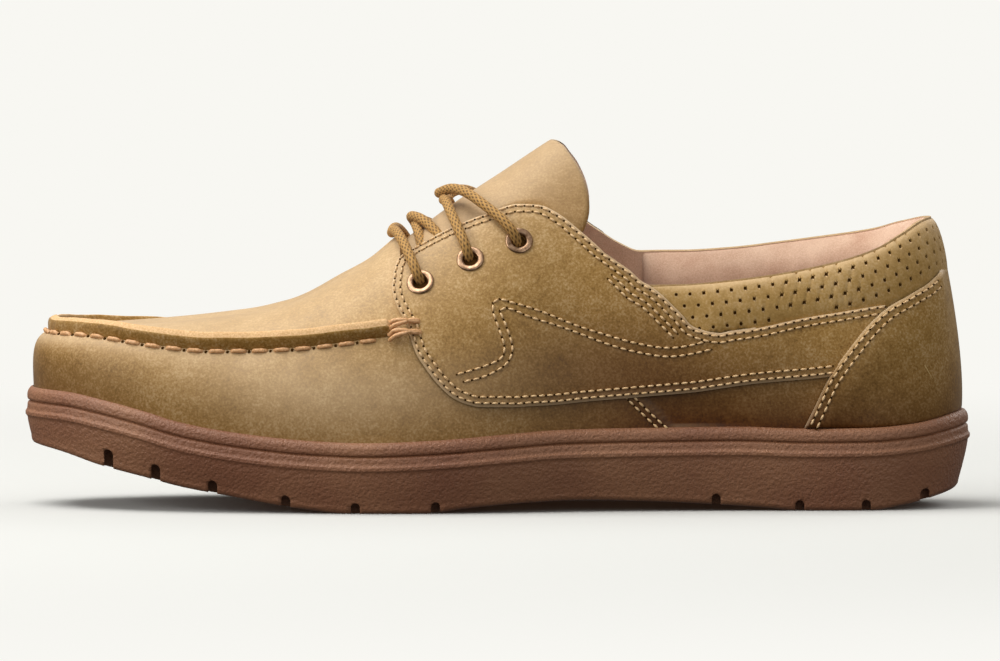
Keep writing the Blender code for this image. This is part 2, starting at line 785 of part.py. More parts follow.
def make_eyelet_cutter(places):
    """Guide: the holes that the eyelets pass through, joined into one mesh."""
    points, faces = [], []
    sides = 10
    for spot, normal, _, _ in places.values():
        quat = Vector(normal).to_track_quat("Z", "Y")
        first = len(points)
        for level in (-2 * CUT_PAST, CUT_PAST):
            for k in range(sides):
                a = 2 * math.pi * k / sides
                radius = EYELET_BARREL / 2 + GAP
                local = Vector((radius * math.cos(a), radius * math.sin(a), level))
                points.append(tuple(Vector(spot) + quat @ local))
        faces.append(tuple(range(first + sides - 1, first - 1, -1)))
        faces.append(tuple(range(first + sides, first + 2 * sides)))
        for k in range(sides):
            m = (k + 1) % sides
            faces.append((first + k, first + m, first + sides + m, first + sides + k))
    return as_guide(new_object("eyelet_guide", points, faces, None))


def make_eyelet(name, spot, normal):
    """A pressed eyelet: a flat flange on the leather's face and a barrel through both layers."""
    bore, barrel, flange = EYELET_HOLE / 2, EYELET_BARREL / 2, EYELET_FLANGE / 2
    low = -(WALL + OVERLAY + GAP)
    profile = [
        (bore, low),
        (barrel, low),
        (barrel, GAP),
        (flange, GAP),
        (flange, GAP + EYELET_PROUD * 0.5),
        (0.5 * (barrel + flange), GAP + EYELET_PROUD),
        (bore, GAP + EYELET_PROUD * 0.7),
    ]
    sides = 10
    quat = Vector(normal).to_track_quat("Z", "Y")
    points = []
    for radius, level in profile:
        for k in range(sides):
            a = 2 * math.pi * (k + 0.5) / sides
            local = Vector((radius * math.cos(a), radius * math.sin(a), level))
            points.append(tuple(Vector(spot) + quat @ local))
    faces = []
    count = len(profile)
    for m in range(count):
        n = (m + 1) % count
        for k in range(sides):
            j = (k + 1) % sides
            faces.append((m * sides + k, m * sides + j, n * sides + j, n * sides + k))
    return new_object(name, points, faces, "brass")


def tube(name, route, radius, sides, material):
    """A round cord through the points of a route, closed at its ends."""
    route = [Vector(p) for p in route]
    points, faces = [], []
    for i, here in enumerate(route):
        ahead = route[min(i + 1, len(route) - 1)] - route[max(i - 1, 0)]
        quat = ahead.to_track_quat("Z", "X")
        for k in range(sides):
            a = 2 * math.pi * k / sides
            points.append(tuple(here + quat @ Vector((radius * math.cos(a), radius * math.sin(a), 0))))
    faces = grid_faces(len(route), sides, True)
    end = (len(route) - 1) * sides
    faces.append(tuple(range(sides - 1, -1, -1)))
    faces.append(tuple(range(end, end + sides)))
    return new_object(name, points, faces, material)


def curve_through(stops, count):
    """A smooth curve through a few stops, as evenly stepped points."""
    stops = np.asarray(stops, float)
    spans = np.linalg.norm(np.diff(stops, axis=0), axis=1)
    reach = np.concatenate([[0], np.cumsum(spans)])
    padded = np.concatenate([[2 * stops[0] - stops[1]], stops, [2 * stops[-1] - stops[-2]]])
    made = []
    for s in np.linspace(0, reach[-1], count):
        i = min(int(np.searchsorted(reach, s, side="right")) - 1, len(stops) - 2)
        t = (s - reach[i]) / spans[i]
        p0, p1, p2, p3 = padded[i : i + 4]
        made.append(
            0.5
            * (
                2 * p1
                + (p2 - p0) * t
                + (2 * p0 - 5 * p1 + 4 * p2 - p3) * t**2
                + (3 * p1 - p0 - 3 * p2 + p3) * t**3
            )
        )
    return made


def make_upper(cutter, holes):
    upper = shell("upper", 0.0, -WALL, "leather", skirt=CUP_DEPTH - GAP)
    boolean(upper, cutter, "DIFFERENCE")
    boolean(upper, holes, "DIFFERENCE")
    return upper


def make_overlay(name, guide, cutter, holes=None, neighbour=None):
    """A leather overlay: the shell just outside the upper, cut to its side outline."""
    overlay = shell(name, OVERLAY + GAP, GAP, "leather")
    boolean(overlay, guide, "INTERSECT")
    boolean(overlay, cutter, "DIFFERENCE")
    if holes:
        boolean(overlay, holes, "DIFFERENCE")
    if neighbour:
        boolean(overlay, neighbour, "DIFFERENCE")
    return overlay


def make_tongue():
    guide = side_prism("tongue_guide", TONGUE_OUTLINE, -BALL_WIDTH, BALL_WIDTH)
    inside = -(WALL + 2 * GAP)
    tongue = shell("tongue", inside, inside - TONGUE_THICKNESS, "leather")
    boolean(tongue, guide, "INTERSECT")
    return tongue


def make_collar_pad():
    """The padded lining: a crescent roll inside the wall, from the eyestays round the heel."""
    count = COLUMNS // 2
    start = math.acos(1 - 2 * PAD_FRONT)
    turns = np.linspace(start, 2 * math.pi - start, count)
    rings = []
    for depth, lower in PAD_SECTION:
        low, high = np.zeros(count), np.full(count, 0.8)
        for _ in range(22):
            up = 0.5 * (low + high)
            spot = last_point(turns, up, -(WALL + 2 * GAP))
            under = spot[:, 2] < top_line(spot) - GAP - PAD_DEPTH * (1 - lower)
            low, high = np.where(under, up, low), np.where(under, high, up)
        rings.append(last_point(turns, up, -(WALL + 2 * GAP) - depth * PAD_THICKNESS))
    points = [rings[k][i] for i in range(count) for k in range(len(PAD_SECTION))]
    sides = len(PAD_SECTION)
    faces = grid_faces(count, sides, True)
    end = (count - 1) * sides
    faces.append(tuple(range(sides)))
    faces.append(tuple(range(end + sides - 1, end - 1, -1)))
    return new_object("collar_pad", points, faces, "lining")


def seam_route(out):
    """Points and normals of the raised seam, from one eyestay round the toe to the other."""
    stops = [(float(x_at(p.along)), p.up * INSTEP_HEIGHT) for p in SEAM]
    xs = [s[0] for s in stops]
    zs = [s[1] for s in stops]
    found = []
    for x in np.linspace(xs[-1], xs[1], 16):
        z = float(smooth(xs, zs, x))
        found.append(find_on_side(x, z, -1, out))
    tip_up = find_tip(xs[0], out)
    near = []
    for k in range(1, 5):
        t = k / 5
        near.append(np.array([found[-1][0] * (1 - t), found[-1][1] * (1 - t) + tip_up * t]))
    outer = found + near + [np.array([0.0, tip_up])]
    inner = []
    for x in np.linspace(xs[1], xs[-1], 16):
        z = float(smooth(xs, zs, x))
        inner.append(find_on_side(x, z, 1, out))
    lead = []
    for k in range(1, 5):
        t = k / 5
        turn = inner[0][0] * t + 2 * math.pi * (1 - t)
        lead.append(np.array([turn, inner[0][1] * t + tip_up * (1 - t)]))
    return outer + lead + inner


def find_tip(x, out):
    """How far up the toe's own section the seam crosses it."""
    ups = np.linspace(0.2, 0.9, 400)
    reach = last_point(np.zeros(400), ups, out)[:, 0]
    return float(ups[int(np.argmin(np.abs(reach - x)))])


def make_apron_seam():
    """The ridge where apron and vamp edges are drawn up together and sewn."""
    route = seam_route(0.0)
    spots = np.array([last_point(turn, up, 2 * GAP) for turn, up in route])
    normals = np.array([last_normal(turn, up) for turn, up in route])
    ahead = np.gradient(spots, axis=0)
    ahead /= np.linalg.norm(ahead, axis=1, keepdims=True)
    across = np.cross(normals, ahead)
    points = []
    for spot, normal, side in zip(spots, normals, across):
        for wide, high in SEAM_SECTION:
            points.append(spot + side * wide * SEAM_WIDTH + normal * high * SEAM_HEIGHT)
    sides = len(SEAM_SECTION)
    faces = grid_faces(len(spots), sides, True)
    end = (len(spots) - 1) * sides
    faces.append(tuple(range(sides)))
    faces.append(tuple(range(end + sides - 1, end - 1, -1)))
    return new_object("apron_seam", points, faces, "leather_edge")


def crest_turn(share):
    """The turn of the outer side's section that meets the crest line at this share of length."""
    return math.acos(1 - 2 * (share - SPINE_TOE) / (SPINE_HEEL - SPINE_TOE))


def strand(name, start, crest, finish):
    """A round lace over the crest from one side to the other, each stop a (turn, up, lift)."""
    legs = []
    for stops in (start + [crest], [(2 * math.pi - crest[0], crest[1], crest[2])] + finish):
        for here, there in zip(stops[:-1], stops[1:]):
            for t in np.linspace(0, 1, 4, endpoint=False):
                turn, up, lift = (a + (b - a) * t for a, b in zip(here, there))
                legs.append(last_point(turn, up, lift))
    turn, up, lift = finish[-1]
    legs.append(last_point(turn, up, lift))
    steps = 5 + 5 * (len(start) + len(finish))
    return tube(name, curve_through(legs, steps), LACE_DIAMETER / 2, 6, "lace")


def make_laces(places):
    """The lace: one bar over the lowest eyelets and two crossings above it."""
    radius = LACE_DIAMETER / 2
    over_eyelet = OVERLAY + 2 * GAP + EYELET_PROUD + radius + LACE_REST
    over_edge = OVERLAY + GAP + radius + LACE_REST
    on_tongue = radius - WALL

    def at_eyelet(side, row):
        _, _, turn, up = places[side, row]
        return turn, up, over_eyelet

    def at_edge(point, side, lift):
        turn, up = find_on_side(float(x_at(point.along)), point.up * INSTEP_HEIGHT, side)
        return turn, up, lift

    bar_crest = (crest_turn(LACE_BAR_ALONG), 1.0, radius + LACE_REST)
    strand("lace_bar", [at_eyelet("outer", 0)], bar_crest, [at_eyelet("inner", 0)])

    for name, crest_share, front, rear, row in (
        ("lace_crossing_low", LACE_LOW_ALONG, LACE_LOW_FRONT, LACE_LOW_REAR, None),
        ("lace_crossing_high", LACE_HIGH_ALONG, LACE_HIGH_FRONT, LACE_HIGH_REAR, 1),
    ):
        lift = on_tongue if row is None else over_edge
        made = []
        for order, (side, from_side, to_side) in enumerate(((-1, "outer", "inner"), (1, "inner", "outer"))):
            start = [at_edge(front, side, lift)]
            finish = [at_edge(rear, -side, lift)]
            if row is not None:
                start.insert(0, at_eyelet(from_side, row))
                finish.append(at_eyelet(to_side, row + 1))
            crest = (crest_turn(crest_share), 1.0, on_tongue + 2 * LACE_REST + order * 0.93 * LACE_DIAMETER)
            if side > 0:
                crest = (2 * math.pi - crest[0], crest[1], crest[2])
            made.append(strand(name if order == 0 else name + "_guide", start, crest, finish))
        boolean(made[0], as_guide(made[1]), "UNION")


for old in list(bpy.data.objects):
    bpy.data.objects.remove(old, do_unlink=True)
materials = make_materials()
eyelets = eyelet_places()
opening = top_cutter("opening_guide")
eyelet_holes = make_eyelet_cutter(eyelets)
make_sole()
make_insole()
make_upper(opening, eyelet_holes)
outer_guide = side_prism("quarter_outer_guide", QUARTER_OUTLINE, -BALL_WIDTH, -QUARTER_PART)
inner_guide = side_prism("quarter_inner_guide", QUARTER_OUTLINE, QUARTER_PART, BALL_WIDTH)
counter_guide = side_prism("counter_guide", COUNTER_FRONT, -BALL_WIDTH, BALL_WIDTH)
counter_room = side_prism("counter_room_guide", COUNTER_FRONT, -BALL_WIDTH, BALL_WIDTH, 2 * GAP)
make_overlay("quarter_outer", outer_guide, opening, eyelet_holes, counter_room)
make_overlay("quarter_inner", inner_guide, opening, eyelet_holes, counter_room)
make_overlay("heel_counter", counter_guide, opening)
make_collar_pad()
make_tongue()
make_apron_seam()
for (side_name, eyelet_row), (place, facing, _, _) in eyelets.items():
    make_eyelet(f"eyelet_{side_name}_{eyelet_row + 1}", place, facing)
make_laces(eyelets)
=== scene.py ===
import math
from collections import namedtuple
from functools import lru_cache

import bmesh
import bpy
import numpy as np
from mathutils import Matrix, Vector
from mathutils.geometry import delaunay_2d_cdt


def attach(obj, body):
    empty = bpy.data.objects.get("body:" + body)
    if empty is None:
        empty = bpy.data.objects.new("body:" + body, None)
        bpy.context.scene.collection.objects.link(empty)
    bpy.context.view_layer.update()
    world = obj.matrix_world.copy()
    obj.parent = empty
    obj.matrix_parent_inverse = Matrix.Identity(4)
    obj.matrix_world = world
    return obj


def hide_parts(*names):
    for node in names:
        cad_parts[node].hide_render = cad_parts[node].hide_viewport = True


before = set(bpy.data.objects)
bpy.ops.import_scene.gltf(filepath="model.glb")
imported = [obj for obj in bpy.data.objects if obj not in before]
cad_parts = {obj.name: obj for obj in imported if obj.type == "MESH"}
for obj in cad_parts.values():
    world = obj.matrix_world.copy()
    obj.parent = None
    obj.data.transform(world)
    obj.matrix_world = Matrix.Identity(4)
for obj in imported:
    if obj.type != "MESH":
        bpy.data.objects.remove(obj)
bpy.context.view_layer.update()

# The studio: a seamless pale paper sweep, one large overhead softbox and weak fills, as for a shop
# photograph. The camera stands square to the shoe's outer side, far off, a little above the floor.

PHOTO_WIDTH, PHOTO_HEIGHT = 1000, 661
PIXELS_PER_MM = 3.15
PHOTO_CENTRE_X = 497.5
PHOTO_FLOOR_Y = 511.5
NEAR_SIDE_Y = -0.045
CAMERA_DISTANCE = 5.0
CAMERA_TILT = math.radians(2.75)
SENSOR = 36.0
WORLD_BELOW, WORLD_ABOVE = 0.10, 0.55


def hex_colour(code):
    """An sRGB hex colour as linear RGBA."""
    parts = [int(code[i : i + 2], 16) / 255 for i in (1, 3, 5)]
    return tuple(c / 12.92 if c <= 0.04045 else ((c + 0.055) / 1.055) ** 2.4 for c in parts) + (1.0,)


def add(tree, kind, inputs=None, **settings):
    """Adds a node: its settings by name, and its inputs as values or as sockets to link from."""
    made = tree.nodes.new(kind)
    for name, value in settings.items():
        setattr(made, name, value)
    for name, value in (inputs or {}).items():
        if isinstance(value, bpy.types.NodeSocket):
            tree.links.new(value, made.inputs[name])
        else:
            made.inputs[name].default_value = value
    return made


def noise(tree, where, size, detail, roughness=0.5):
    """A cloudy texture whose patches are about this many metres across."""
    return add(tree, "ShaderNodeTexNoise", {"Vector": where, "Scale": 1 / size, "Detail": detail,
                                            "Roughness": roughness})


def two_tones(tree, fac, low, dark, high, pale):
    """A colour ramp from one hex colour at low to another at high."""
    made = add(tree, "ShaderNodeValToRGB", {"Fac": fac})
    for stop, place, code in zip(made.color_ramp.elements, (low, high), (dark, pale)):
        stop.position, stop.color = place, hex_colour(code)
    return made


def new_material(name):
    material = bpy.data.materials.new(name)
    material.use_nodes = True
    tree = material.node_tree
    shader = tree.nodes["Principled BSDF"]
    return material, tree, shader


# Matt seamless paper. Away from the shoe it is lit to an even near-white, as the background of a shop
# photograph is; close to the shoe it takes the shadows.
paper, tree, shader = new_material("matt_paper_sweep")
shader.inputs["Base Color"].default_value = hex_colour("#CBCCCB")
shader.inputs["Roughness"].default_value = 0.95
shader.inputs["Specular IOR Level"].default_value = 0.0
where = add(tree, "ShaderNodeTexCoord").outputs["Object"]
apart = add(tree, "ShaderNodeVectorMath", {0: where}, operation="LENGTH")
far = add(tree, "ShaderNodeMapRange", {"Value": apart.outputs["Value"], "From Min": 0.22, "From Max": 0.75},
          interpolation_type="SMOOTHSTEP")
glow = add(tree, "ShaderNodeEmission", {"Color": hex_colour("#F8F7F2"), "Strength": 1.0})
mixed = add(tree, "ShaderNodeMixShader", {0: far.outputs[0], 1: shader.outputs[0], 2: glow.outputs[0]})
tree.links.new(mixed.outputs[0], tree.nodes["Material Output"].inputs["Surface"])

SWEEP_FRONT, SWEEP_BACK, SWEEP_SIDE, SWEEP_RADIUS, SWEEP_TOP = -3.0, 1.6, 3.0, 0.8, 3.5
sweep = [(SWEEP_FRONT, 0.0), (SWEEP_BACK - SWEEP_RADIUS, 0.0)]
for k in range(1, 17):
    a = math.pi / 2 * k / 16
    sweep.append((SWEEP_BACK - SWEEP_RADIUS + SWEEP_RADIUS * math.sin(a), SWEEP_RADIUS * (1 - math.cos(a))))
sweep.append((SWEEP_BACK, SWEEP_TOP))
mesh = bpy.data.meshes.new("paper_sweep")
points = [(side, y, z) for y, z in sweep for side in (-SWEEP_SIDE, SWEEP_SIDE)]
mesh.from_pydata(points, [], [(2 * i, 2 * i + 1, 2 * i + 3, 2 * i + 2) for i in range(len(sweep) - 1)])
mesh.materials.append(paper)
mesh.shade_smooth()
floor = bpy.data.objects.new("paper_sweep", mesh)
bpy.context.scene.collection.objects.link(floor)
floor.visible_diffuse = False
floor.visible_glossy = False

world = bpy.data.worlds.new("studio")
world.use_nodes = True
tree = world.node_tree
direction = add(tree, "ShaderNodeTexCoord").outputs["Generated"]
height = add(tree, "ShaderNodeSeparateXYZ", {"Vector": direction})
sky = add(tree, "ShaderNodeMapRange", {"Value": height.outputs["Z"], "From Min": -0.25, "From Max": 0.6,
                                       "To Min": WORLD_BELOW, "To Max": WORLD_ABOVE})
tree.links.new(sky.outputs[0], tree.nodes["Background"].inputs["Strength"])
tree.nodes["Background"].inputs["Color"].default_value = hex_colour("#FBFAF6")
bpy.context.scene.world = world

bpy.context.scene.view_settings.view_transform = "Standard"

SoftBox = namedtuple("SoftBox", "name at size power")
SOFT_BOXES = (
    SoftBox("overhead", (-0.55, -0.05, 1.45), (1.3, 1.0), 23.0),
    SoftBox("front_left", (-1.9, -0.9, 0.8), (0.8, 0.8), 20.0),
    SoftBox("front_right", (0.9, -1.8, 0.6), (0.8, 0.8), 6.0),
    SoftBox("behind", (0.9, 1.2, 0.9), (1.2, 0.7), 7.0),
)
for box in SOFT_BOXES:
    lamp = bpy.data.lights.new(box.name, "AREA")
    lamp.shape = "RECTANGLE"
    lamp.size, lamp.size_y = box.size
    lamp.energy = box.power
    lamp.color = hex_colour("#FFFDF8")[:3]
    holder = bpy.data.objects.new(box.name, lamp)
    holder.location = box.at
    holder.rotation_mode = "QUATERNION"
    holder.rotation_quaternion = (Vector(box.at) - Vector((0, 0, 0.05))).to_track_quat("Z", "Y")
    bpy.context.scene.collection.objects.link(holder)

camera = bpy.data.cameras.new("camera")
mm_across = PHOTO_WIDTH / PIXELS_PER_MM
camera.sensor_width = SENSOR
camera.lens = SENSOR * (CAMERA_DISTANCE - NEAR_SIDE_Y) * 1000 / mm_across
camera.clip_end = 20
eye = bpy.data.objects.new("camera", camera)
aim = Vector(
    (
        (PHOTO_WIDTH / 2 - PHOTO_CENTRE_X) / PIXELS_PER_MM / 1000,
        NEAR_SIDE_Y,
        (PHOTO_FLOOR_Y - PHOTO_HEIGHT / 2) / PIXELS_PER_MM / 1000,
    )
)
eye.location = aim + CAMERA_DISTANCE * Vector((0, -math.cos(CAMERA_TILT), math.sin(CAMERA_TILT)))
eye.rotation_euler = (math.pi / 2 - CAMERA_TILT, 0, 0)
bpy.context.scene.collection.objects.link(eye)
bpy.context.scene.camera = eye

# The sole: one moulded cup of gum-brown rubber. Its side has a rounded bead under the upper, a fine
# groove, a flat band and a raised rib, then a pebbled wall with slots cut up into its bottom edge.
# Everything round the shoe is laid out on the last, whose sizes and tables come first.

LENGTH = 0.300
BALL_WIDTH = 0.112
HEEL_WIDTH = 0.077
TOE_HEIGHT = 0.0573
INSTEP_HEIGHT = 0.080
HEEL_HEIGHT = 0.0915
TOE_SPRING = 0.0205
ARCH_RISE = 0.0037
HEEL_BEVEL = 0.0037
TOE_RIM = 0.0376
BALL_RIM = 0.0224
HEEL_RIM = 0.0262
WALL = 0.0020
OVERLAY = 0.0013
GAP = 0.0003
CUP_DEPTH = 0.0055
RIB_OUT = 0.0026
RIB_DROP = 0.0084
SOLE_TAPER = 0.0042

Plan = namedtuple("Plan", "along outer inner middle of")
PLAN = (
    Plan(0.00, 0.74, 0.80, 0.090, BALL_WIDTH), Plan(0.10, 0.84, 0.86, 0.070, BALL_WIDTH),
    Plan(0.20, 0.91, 0.93, 0.045, BALL_WIDTH), Plan(0.30, 0.98, 0.98, 0.015, BALL_WIDTH),
    Plan(0.37, 1.00, 0.96, -0.004, BALL_WIDTH), Plan(0.47, 0.94, 0.85, -0.020, BALL_WIDTH),
    Plan(0.60, 1.13, 0.95, -0.012, HEEL_WIDTH), Plan(0.75, 1.02, 0.96, 0.0, HEEL_WIDTH),
    Plan(0.87, 1.00, 1.00, 0.0, HEEL_WIDTH), Plan(1.00, 1.00, 1.00, 0.0, HEEL_WIDTH),
)
TOE_CAP, TOE_SQUARENESS = 0.22, 2.35
HEEL_CAP, HEEL_SQUARENESS = 0.15, 2.15

Height = namedtuple("Height", "along share of")
GROUND = (
    Height(0.00, 1.00, TOE_SPRING), Height(0.04, 0.88, TOE_SPRING), Height(0.08, 0.70, TOE_SPRING),
    Height(0.125, 0.54, TOE_SPRING), Height(0.17, 0.38, TOE_SPRING), Height(0.22, 0.25, TOE_SPRING),
    Height(0.27, 0.12, TOE_SPRING), Height(0.31, 0.04, TOE_SPRING), Height(0.34, 0.00, TOE_SPRING),
    Height(0.42, 0.00, ARCH_RISE), Height(0.47, 0.45, ARCH_RISE), Height(0.53, 0.83, ARCH_RISE),
    Height(0.59, 1.00, ARCH_RISE), Height(0.65, 0.87, ARCH_RISE), Height(0.72, 0.60, ARCH_RISE),
    Height(0.78, 0.28, ARCH_RISE), Height(0.82, 0.00, ARCH_RISE), Height(0.89, 0.00, HEEL_BEVEL),
    Height(0.93, 0.45, HEEL_BEVEL), Height(0.96, 1.00, HEEL_BEVEL), Height(1.00, 1.90, HEEL_BEVEL),
)
RIM = (
    Height(0.00, 1.00, TOE_RIM), Height(0.04, 0.985, TOE_RIM), Height(0.08, 0.93, TOE_RIM),
    Height(0.125, 0.845, TOE_RIM), Height(0.16, 0.765, TOE_RIM), Height(0.20, 1.18, BALL_RIM),
    Height(0.25, 1.09, BALL_RIM), Height(0.30, 1.03, BALL_RIM), Height(0.36, 1.00, BALL_RIM),
    Height(0.43, 1.03, BALL_RIM), Height(0.50, 1.10, BALL_RIM), Height(0.57, 0.995, HEEL_RIM),
    Height(0.65, 1.01, HEEL_RIM), Height(0.75, 1.02, HEEL_RIM), Height(0.83, 0.995, HEEL_RIM),
    Height(0.89, 1.00, HEEL_RIM), Height(0.94, 1.04, HEEL_RIM), Height(1.00, 1.17, HEEL_RIM),
)
CREST = (
    Height(0.15, 1.000, TOE_HEIGHT), Height(0.20, 1.030, TOE_HEIGHT), Height(0.25, 1.075, TOE_HEIGHT),
    Height(0.30, 1.155, TOE_HEIGHT), Height(0.35, 0.940, INSTEP_HEIGHT),
    Height(0.375, 1.00, INSTEP_HEIGHT), Height(0.40, 1.080, INSTEP_HEIGHT),
    Height(0.45, 1.225, INSTEP_HEIGHT), Height(0.50, 1.350, INSTEP_HEIGHT),
    Height(0.55, 1.475, INSTEP_HEIGHT), Height(0.65, 1.70, INSTEP_HEIGHT),
    Height(0.75, 1.85, INSTEP_HEIGHT), Height(1.00, 1.87, INSTEP_HEIGHT),
)

Section = namedtuple("Section", "along lean shoulder flat")
SECTIONS = (
    Section(0.00, 0.018, 1.10, 1.00), Section(0.10, 0.035, 0.95, 0.80), Section(0.20, 0.035, 0.76, 0.62),
    Section(0.30, 0.030, 0.62, 0.50), Section(0.40, -0.035, 0.60, 0.42),
    Section(0.50, -0.060, 0.60, 0.45), Section(0.65, -0.010, 0.40, 0.51),
    Section(0.75, 0.027, 0.35, 0.55), Section(0.90, 0.020, 0.27, 0.50),
    Section(1.00, 0.040, 0.245, 0.48),
)
SPINE_TOE, SPINE_HEEL = 0.15, 0.867

TopLine = namedtuple("TopLine", "along outer inner of")
TOP_LINE = (
    TopLine(0.390, 0.980, 0.980, INSTEP_HEIGHT), TopLine(0.443, 1.088, 1.088, INSTEP_HEIGHT),
    TopLine(0.485, 1.155, 1.155, INSTEP_HEIGHT), TopLine(0.525, 1.202, 1.202, INSTEP_HEIGHT),
    TopLine(0.542, 1.200, 1.203, INSTEP_HEIGHT), TopLine(0.5625, 1.168, 1.180, INSTEP_HEIGHT),
    TopLine(0.583, 1.110, 1.145, INSTEP_HEIGHT), TopLine(0.605, 1.040, 1.090, INSTEP_HEIGHT),
    TopLine(0.630, 0.832, 0.900, HEEL_HEIGHT), TopLine(0.651, 0.780, 0.872, HEEL_HEIGHT),
    TopLine(0.695, 0.782, 0.872, HEEL_HEIGHT), TopLine(0.750, 0.798, 0.882, HEEL_HEIGHT),
    TopLine(0.800, 0.820, 0.902, HEEL_HEIGHT), TopLine(0.857, 0.858, 0.928, HEEL_HEIGHT),
    TopLine(0.900, 0.900, 0.955, HEEL_HEIGHT), TopLine(0.929, 0.950, 0.985, HEEL_HEIGHT),
    TopLine(0.955, 1.000, 1.000, HEEL_HEIGHT), TopLine(1.000, 1.010, 1.010, HEEL_HEIGHT),
)
THROAT_FRONT = 0.397
FINE = np.linspace(-0.1, 1.1, 6001)


def smooth(xs, ys, at):
    """A curve through the rows of a table that never overshoots them."""
    xs, ys, at = np.asarray(xs, float), np.asarray(ys, float), np.asarray(at, float)
    step = np.diff(xs)
    rise = np.diff(ys) / step
    slope = np.zeros(len(xs))
    same = rise[:-1] * rise[1:] > 0
    before = 2 * step[1:] + step[:-1]
    after = step[1:] + 2 * step[:-1]
    first, second = np.where(same, rise[:-1], 1), np.where(same, rise[1:], 1)
    slope[1:-1] = np.where(same, (before + after) / (before / first + after / second), 0)
    slope[0], slope[-1] = rise[0], rise[-1]
    at = np.clip(at, xs[0], xs[-1])
    i = np.clip(np.searchsorted(xs, at, side="right") - 1, 0, len(xs) - 2)
    t = (at - xs[i]) / step[i]
    return (
        ys[i] * (1 + 2 * t) * (1 - t) ** 2
        + slope[i] * step[i] * t * (1 - t) ** 2
        + ys[i + 1] * t * t * (3 - 2 * t)
        + slope[i + 1] * step[i] * t * t * (t - 1)
    )


@lru_cache(maxsize=None)
def sampled(rows, name):
    """One named column of a table as a smooth curve, sampled finely; each row follows its own size."""
    values = [getattr(row, name) * getattr(row, "of", 1.0) for row in rows]
    return smooth([row.along for row in rows], values, FINE)


def column(rows, name, at):
    return np.interp(at, FINE, sampled(rows, name))


def along(x):
    return np.asarray(x, float) / LENGTH + 0.5


def x_at(share):
    return (np.asarray(share, float) - 0.5) * LENGTH


def half_width(share, side):
    """Distance of the sole's widest line from the middle line, on side 'outer' or 'inner'."""
    toe = np.clip(1 - share / TOE_CAP, 0, 1)
    heel = np.clip(1 - (1 - share) / HEEL_CAP, 0, 1)
    round_toe = (1 - toe**TOE_SQUARENESS) ** (1 / TOE_SQUARENESS)
    round_heel = (1 - heel**HEEL_SQUARENESS) ** (1 / HEEL_SQUARENESS)
    return 0.5 * column(PLAN, side, share) * round_toe * round_heel


def middle(share):
    return 0.5 * column(PLAN, "middle", share)


def unit(vectors):
    return vectors / np.linalg.norm(vectors, axis=-1, keepdims=True)


def raw_outline(turn):
    """The sole's widest line. turn runs from the toe round the outer side to the heel and back."""
    turn = np.asarray(turn, float)
    share = 0.5 - 0.5 * np.cos(turn)
    outer = np.sin(turn) >= 0
    width = np.where(outer, -half_width(share, "outer"), half_width(share, "inner"))
    return np.stack([x_at(share), middle(share) + width], axis=-1)


side_most = raw_outline(np.linspace(0, 2 * math.pi, 2000, endpoint=False))[:, 1]
CENTRE_Y = 0.5 * (side_most.min() + side_most.max())


def outline(turn, inward=0.0):
    """The sole's widest line moved inward along its own normal, centred on the origin."""
    small = 1e-3
    here = raw_outline(turn)
    ahead = unit(raw_outline(np.asarray(turn) + small) - raw_outline(np.asarray(turn) - small))
    outward = np.stack([ahead[..., 1], -ahead[..., 0]], axis=-1)
    return here - np.asarray(inward)[..., None] * outward - np.array([0, CENTRE_Y])


def feather_inset(turn):
    """How far the upper stands inside the widest line: a little more under the heel counter."""
    share = 0.5 - 0.5 * np.cos(turn)
    t = np.clip((share - 0.76) / 0.09, 0, 1)
    return RIB_OUT + (OVERLAY + GAP) * t * t * (3 - 2 * t)


def ground_at(x):
    return column(GROUND, "share", along(x))


def rim_at(x):
    return column(RIM, "share", along(x))


def rim_round(turn):
    """Height of the sole's rim round the shoe."""
    return rim_at(outline(turn)[..., 0])


def crest_at(x):
    return column(CREST, "share", along(x))


def make_piece(name, points, faces, material, smooth_angle=40):
    """A mesh object from points and faces, smooth apart from its sharp edges."""
    mesh = bpy.data.meshes.new(name)
    mesh.from_pydata(np.asarray(points, float).tolist(), [], faces)
    made = bmesh.new()
    made.from_mesh(mesh)
    bmesh.ops.recalc_face_normals(made, faces=made.faces)
    made.to_mesh(mesh)
    made.free()
    mesh.shade_smooth()
    mesh.set_sharp_from_angle(angle=math.radians(smooth_angle))
    mesh.materials.append(material)
    thing = bpy.data.objects.new(name, mesh)
    bpy.context.scene.collection.objects.link(thing)
    return thing


def grid_faces(rows, columns, closed):
    """Quads of a grid of points laid out row by row, closed round its columns or open."""
    last = columns if closed else columns - 1
    faces = []
    for first in range(0, (rows - 1) * columns, columns):
        for i in range(last):
            j = (i + 1) % columns
            faces.append((first + i, first + j, first + columns + j, first + columns + i))
    return faces


def tube_faces(rings, sides, first=0):
    """Faces of a tube with closed ends, whose points are laid out ring by ring."""
    last = (rings - 1) * sides
    faces = grid_faces(rings, sides, True) + [range(sides), range(last + sides - 1, last - 1, -1)]
    return [tuple(first + i for i in face) for face in faces]


def hoops(centres, first, second, radius, count):
    """Rings of points round some centres, in the plane of two directions."""
    around = 2 * math.pi * np.arange(count) / count
    cosines, sines = np.cos(around)[:, None], np.sin(around)[:, None]
    return centres[..., None, :] + radius * (first[..., None, :] * cosines + second[..., None, :] * sines)


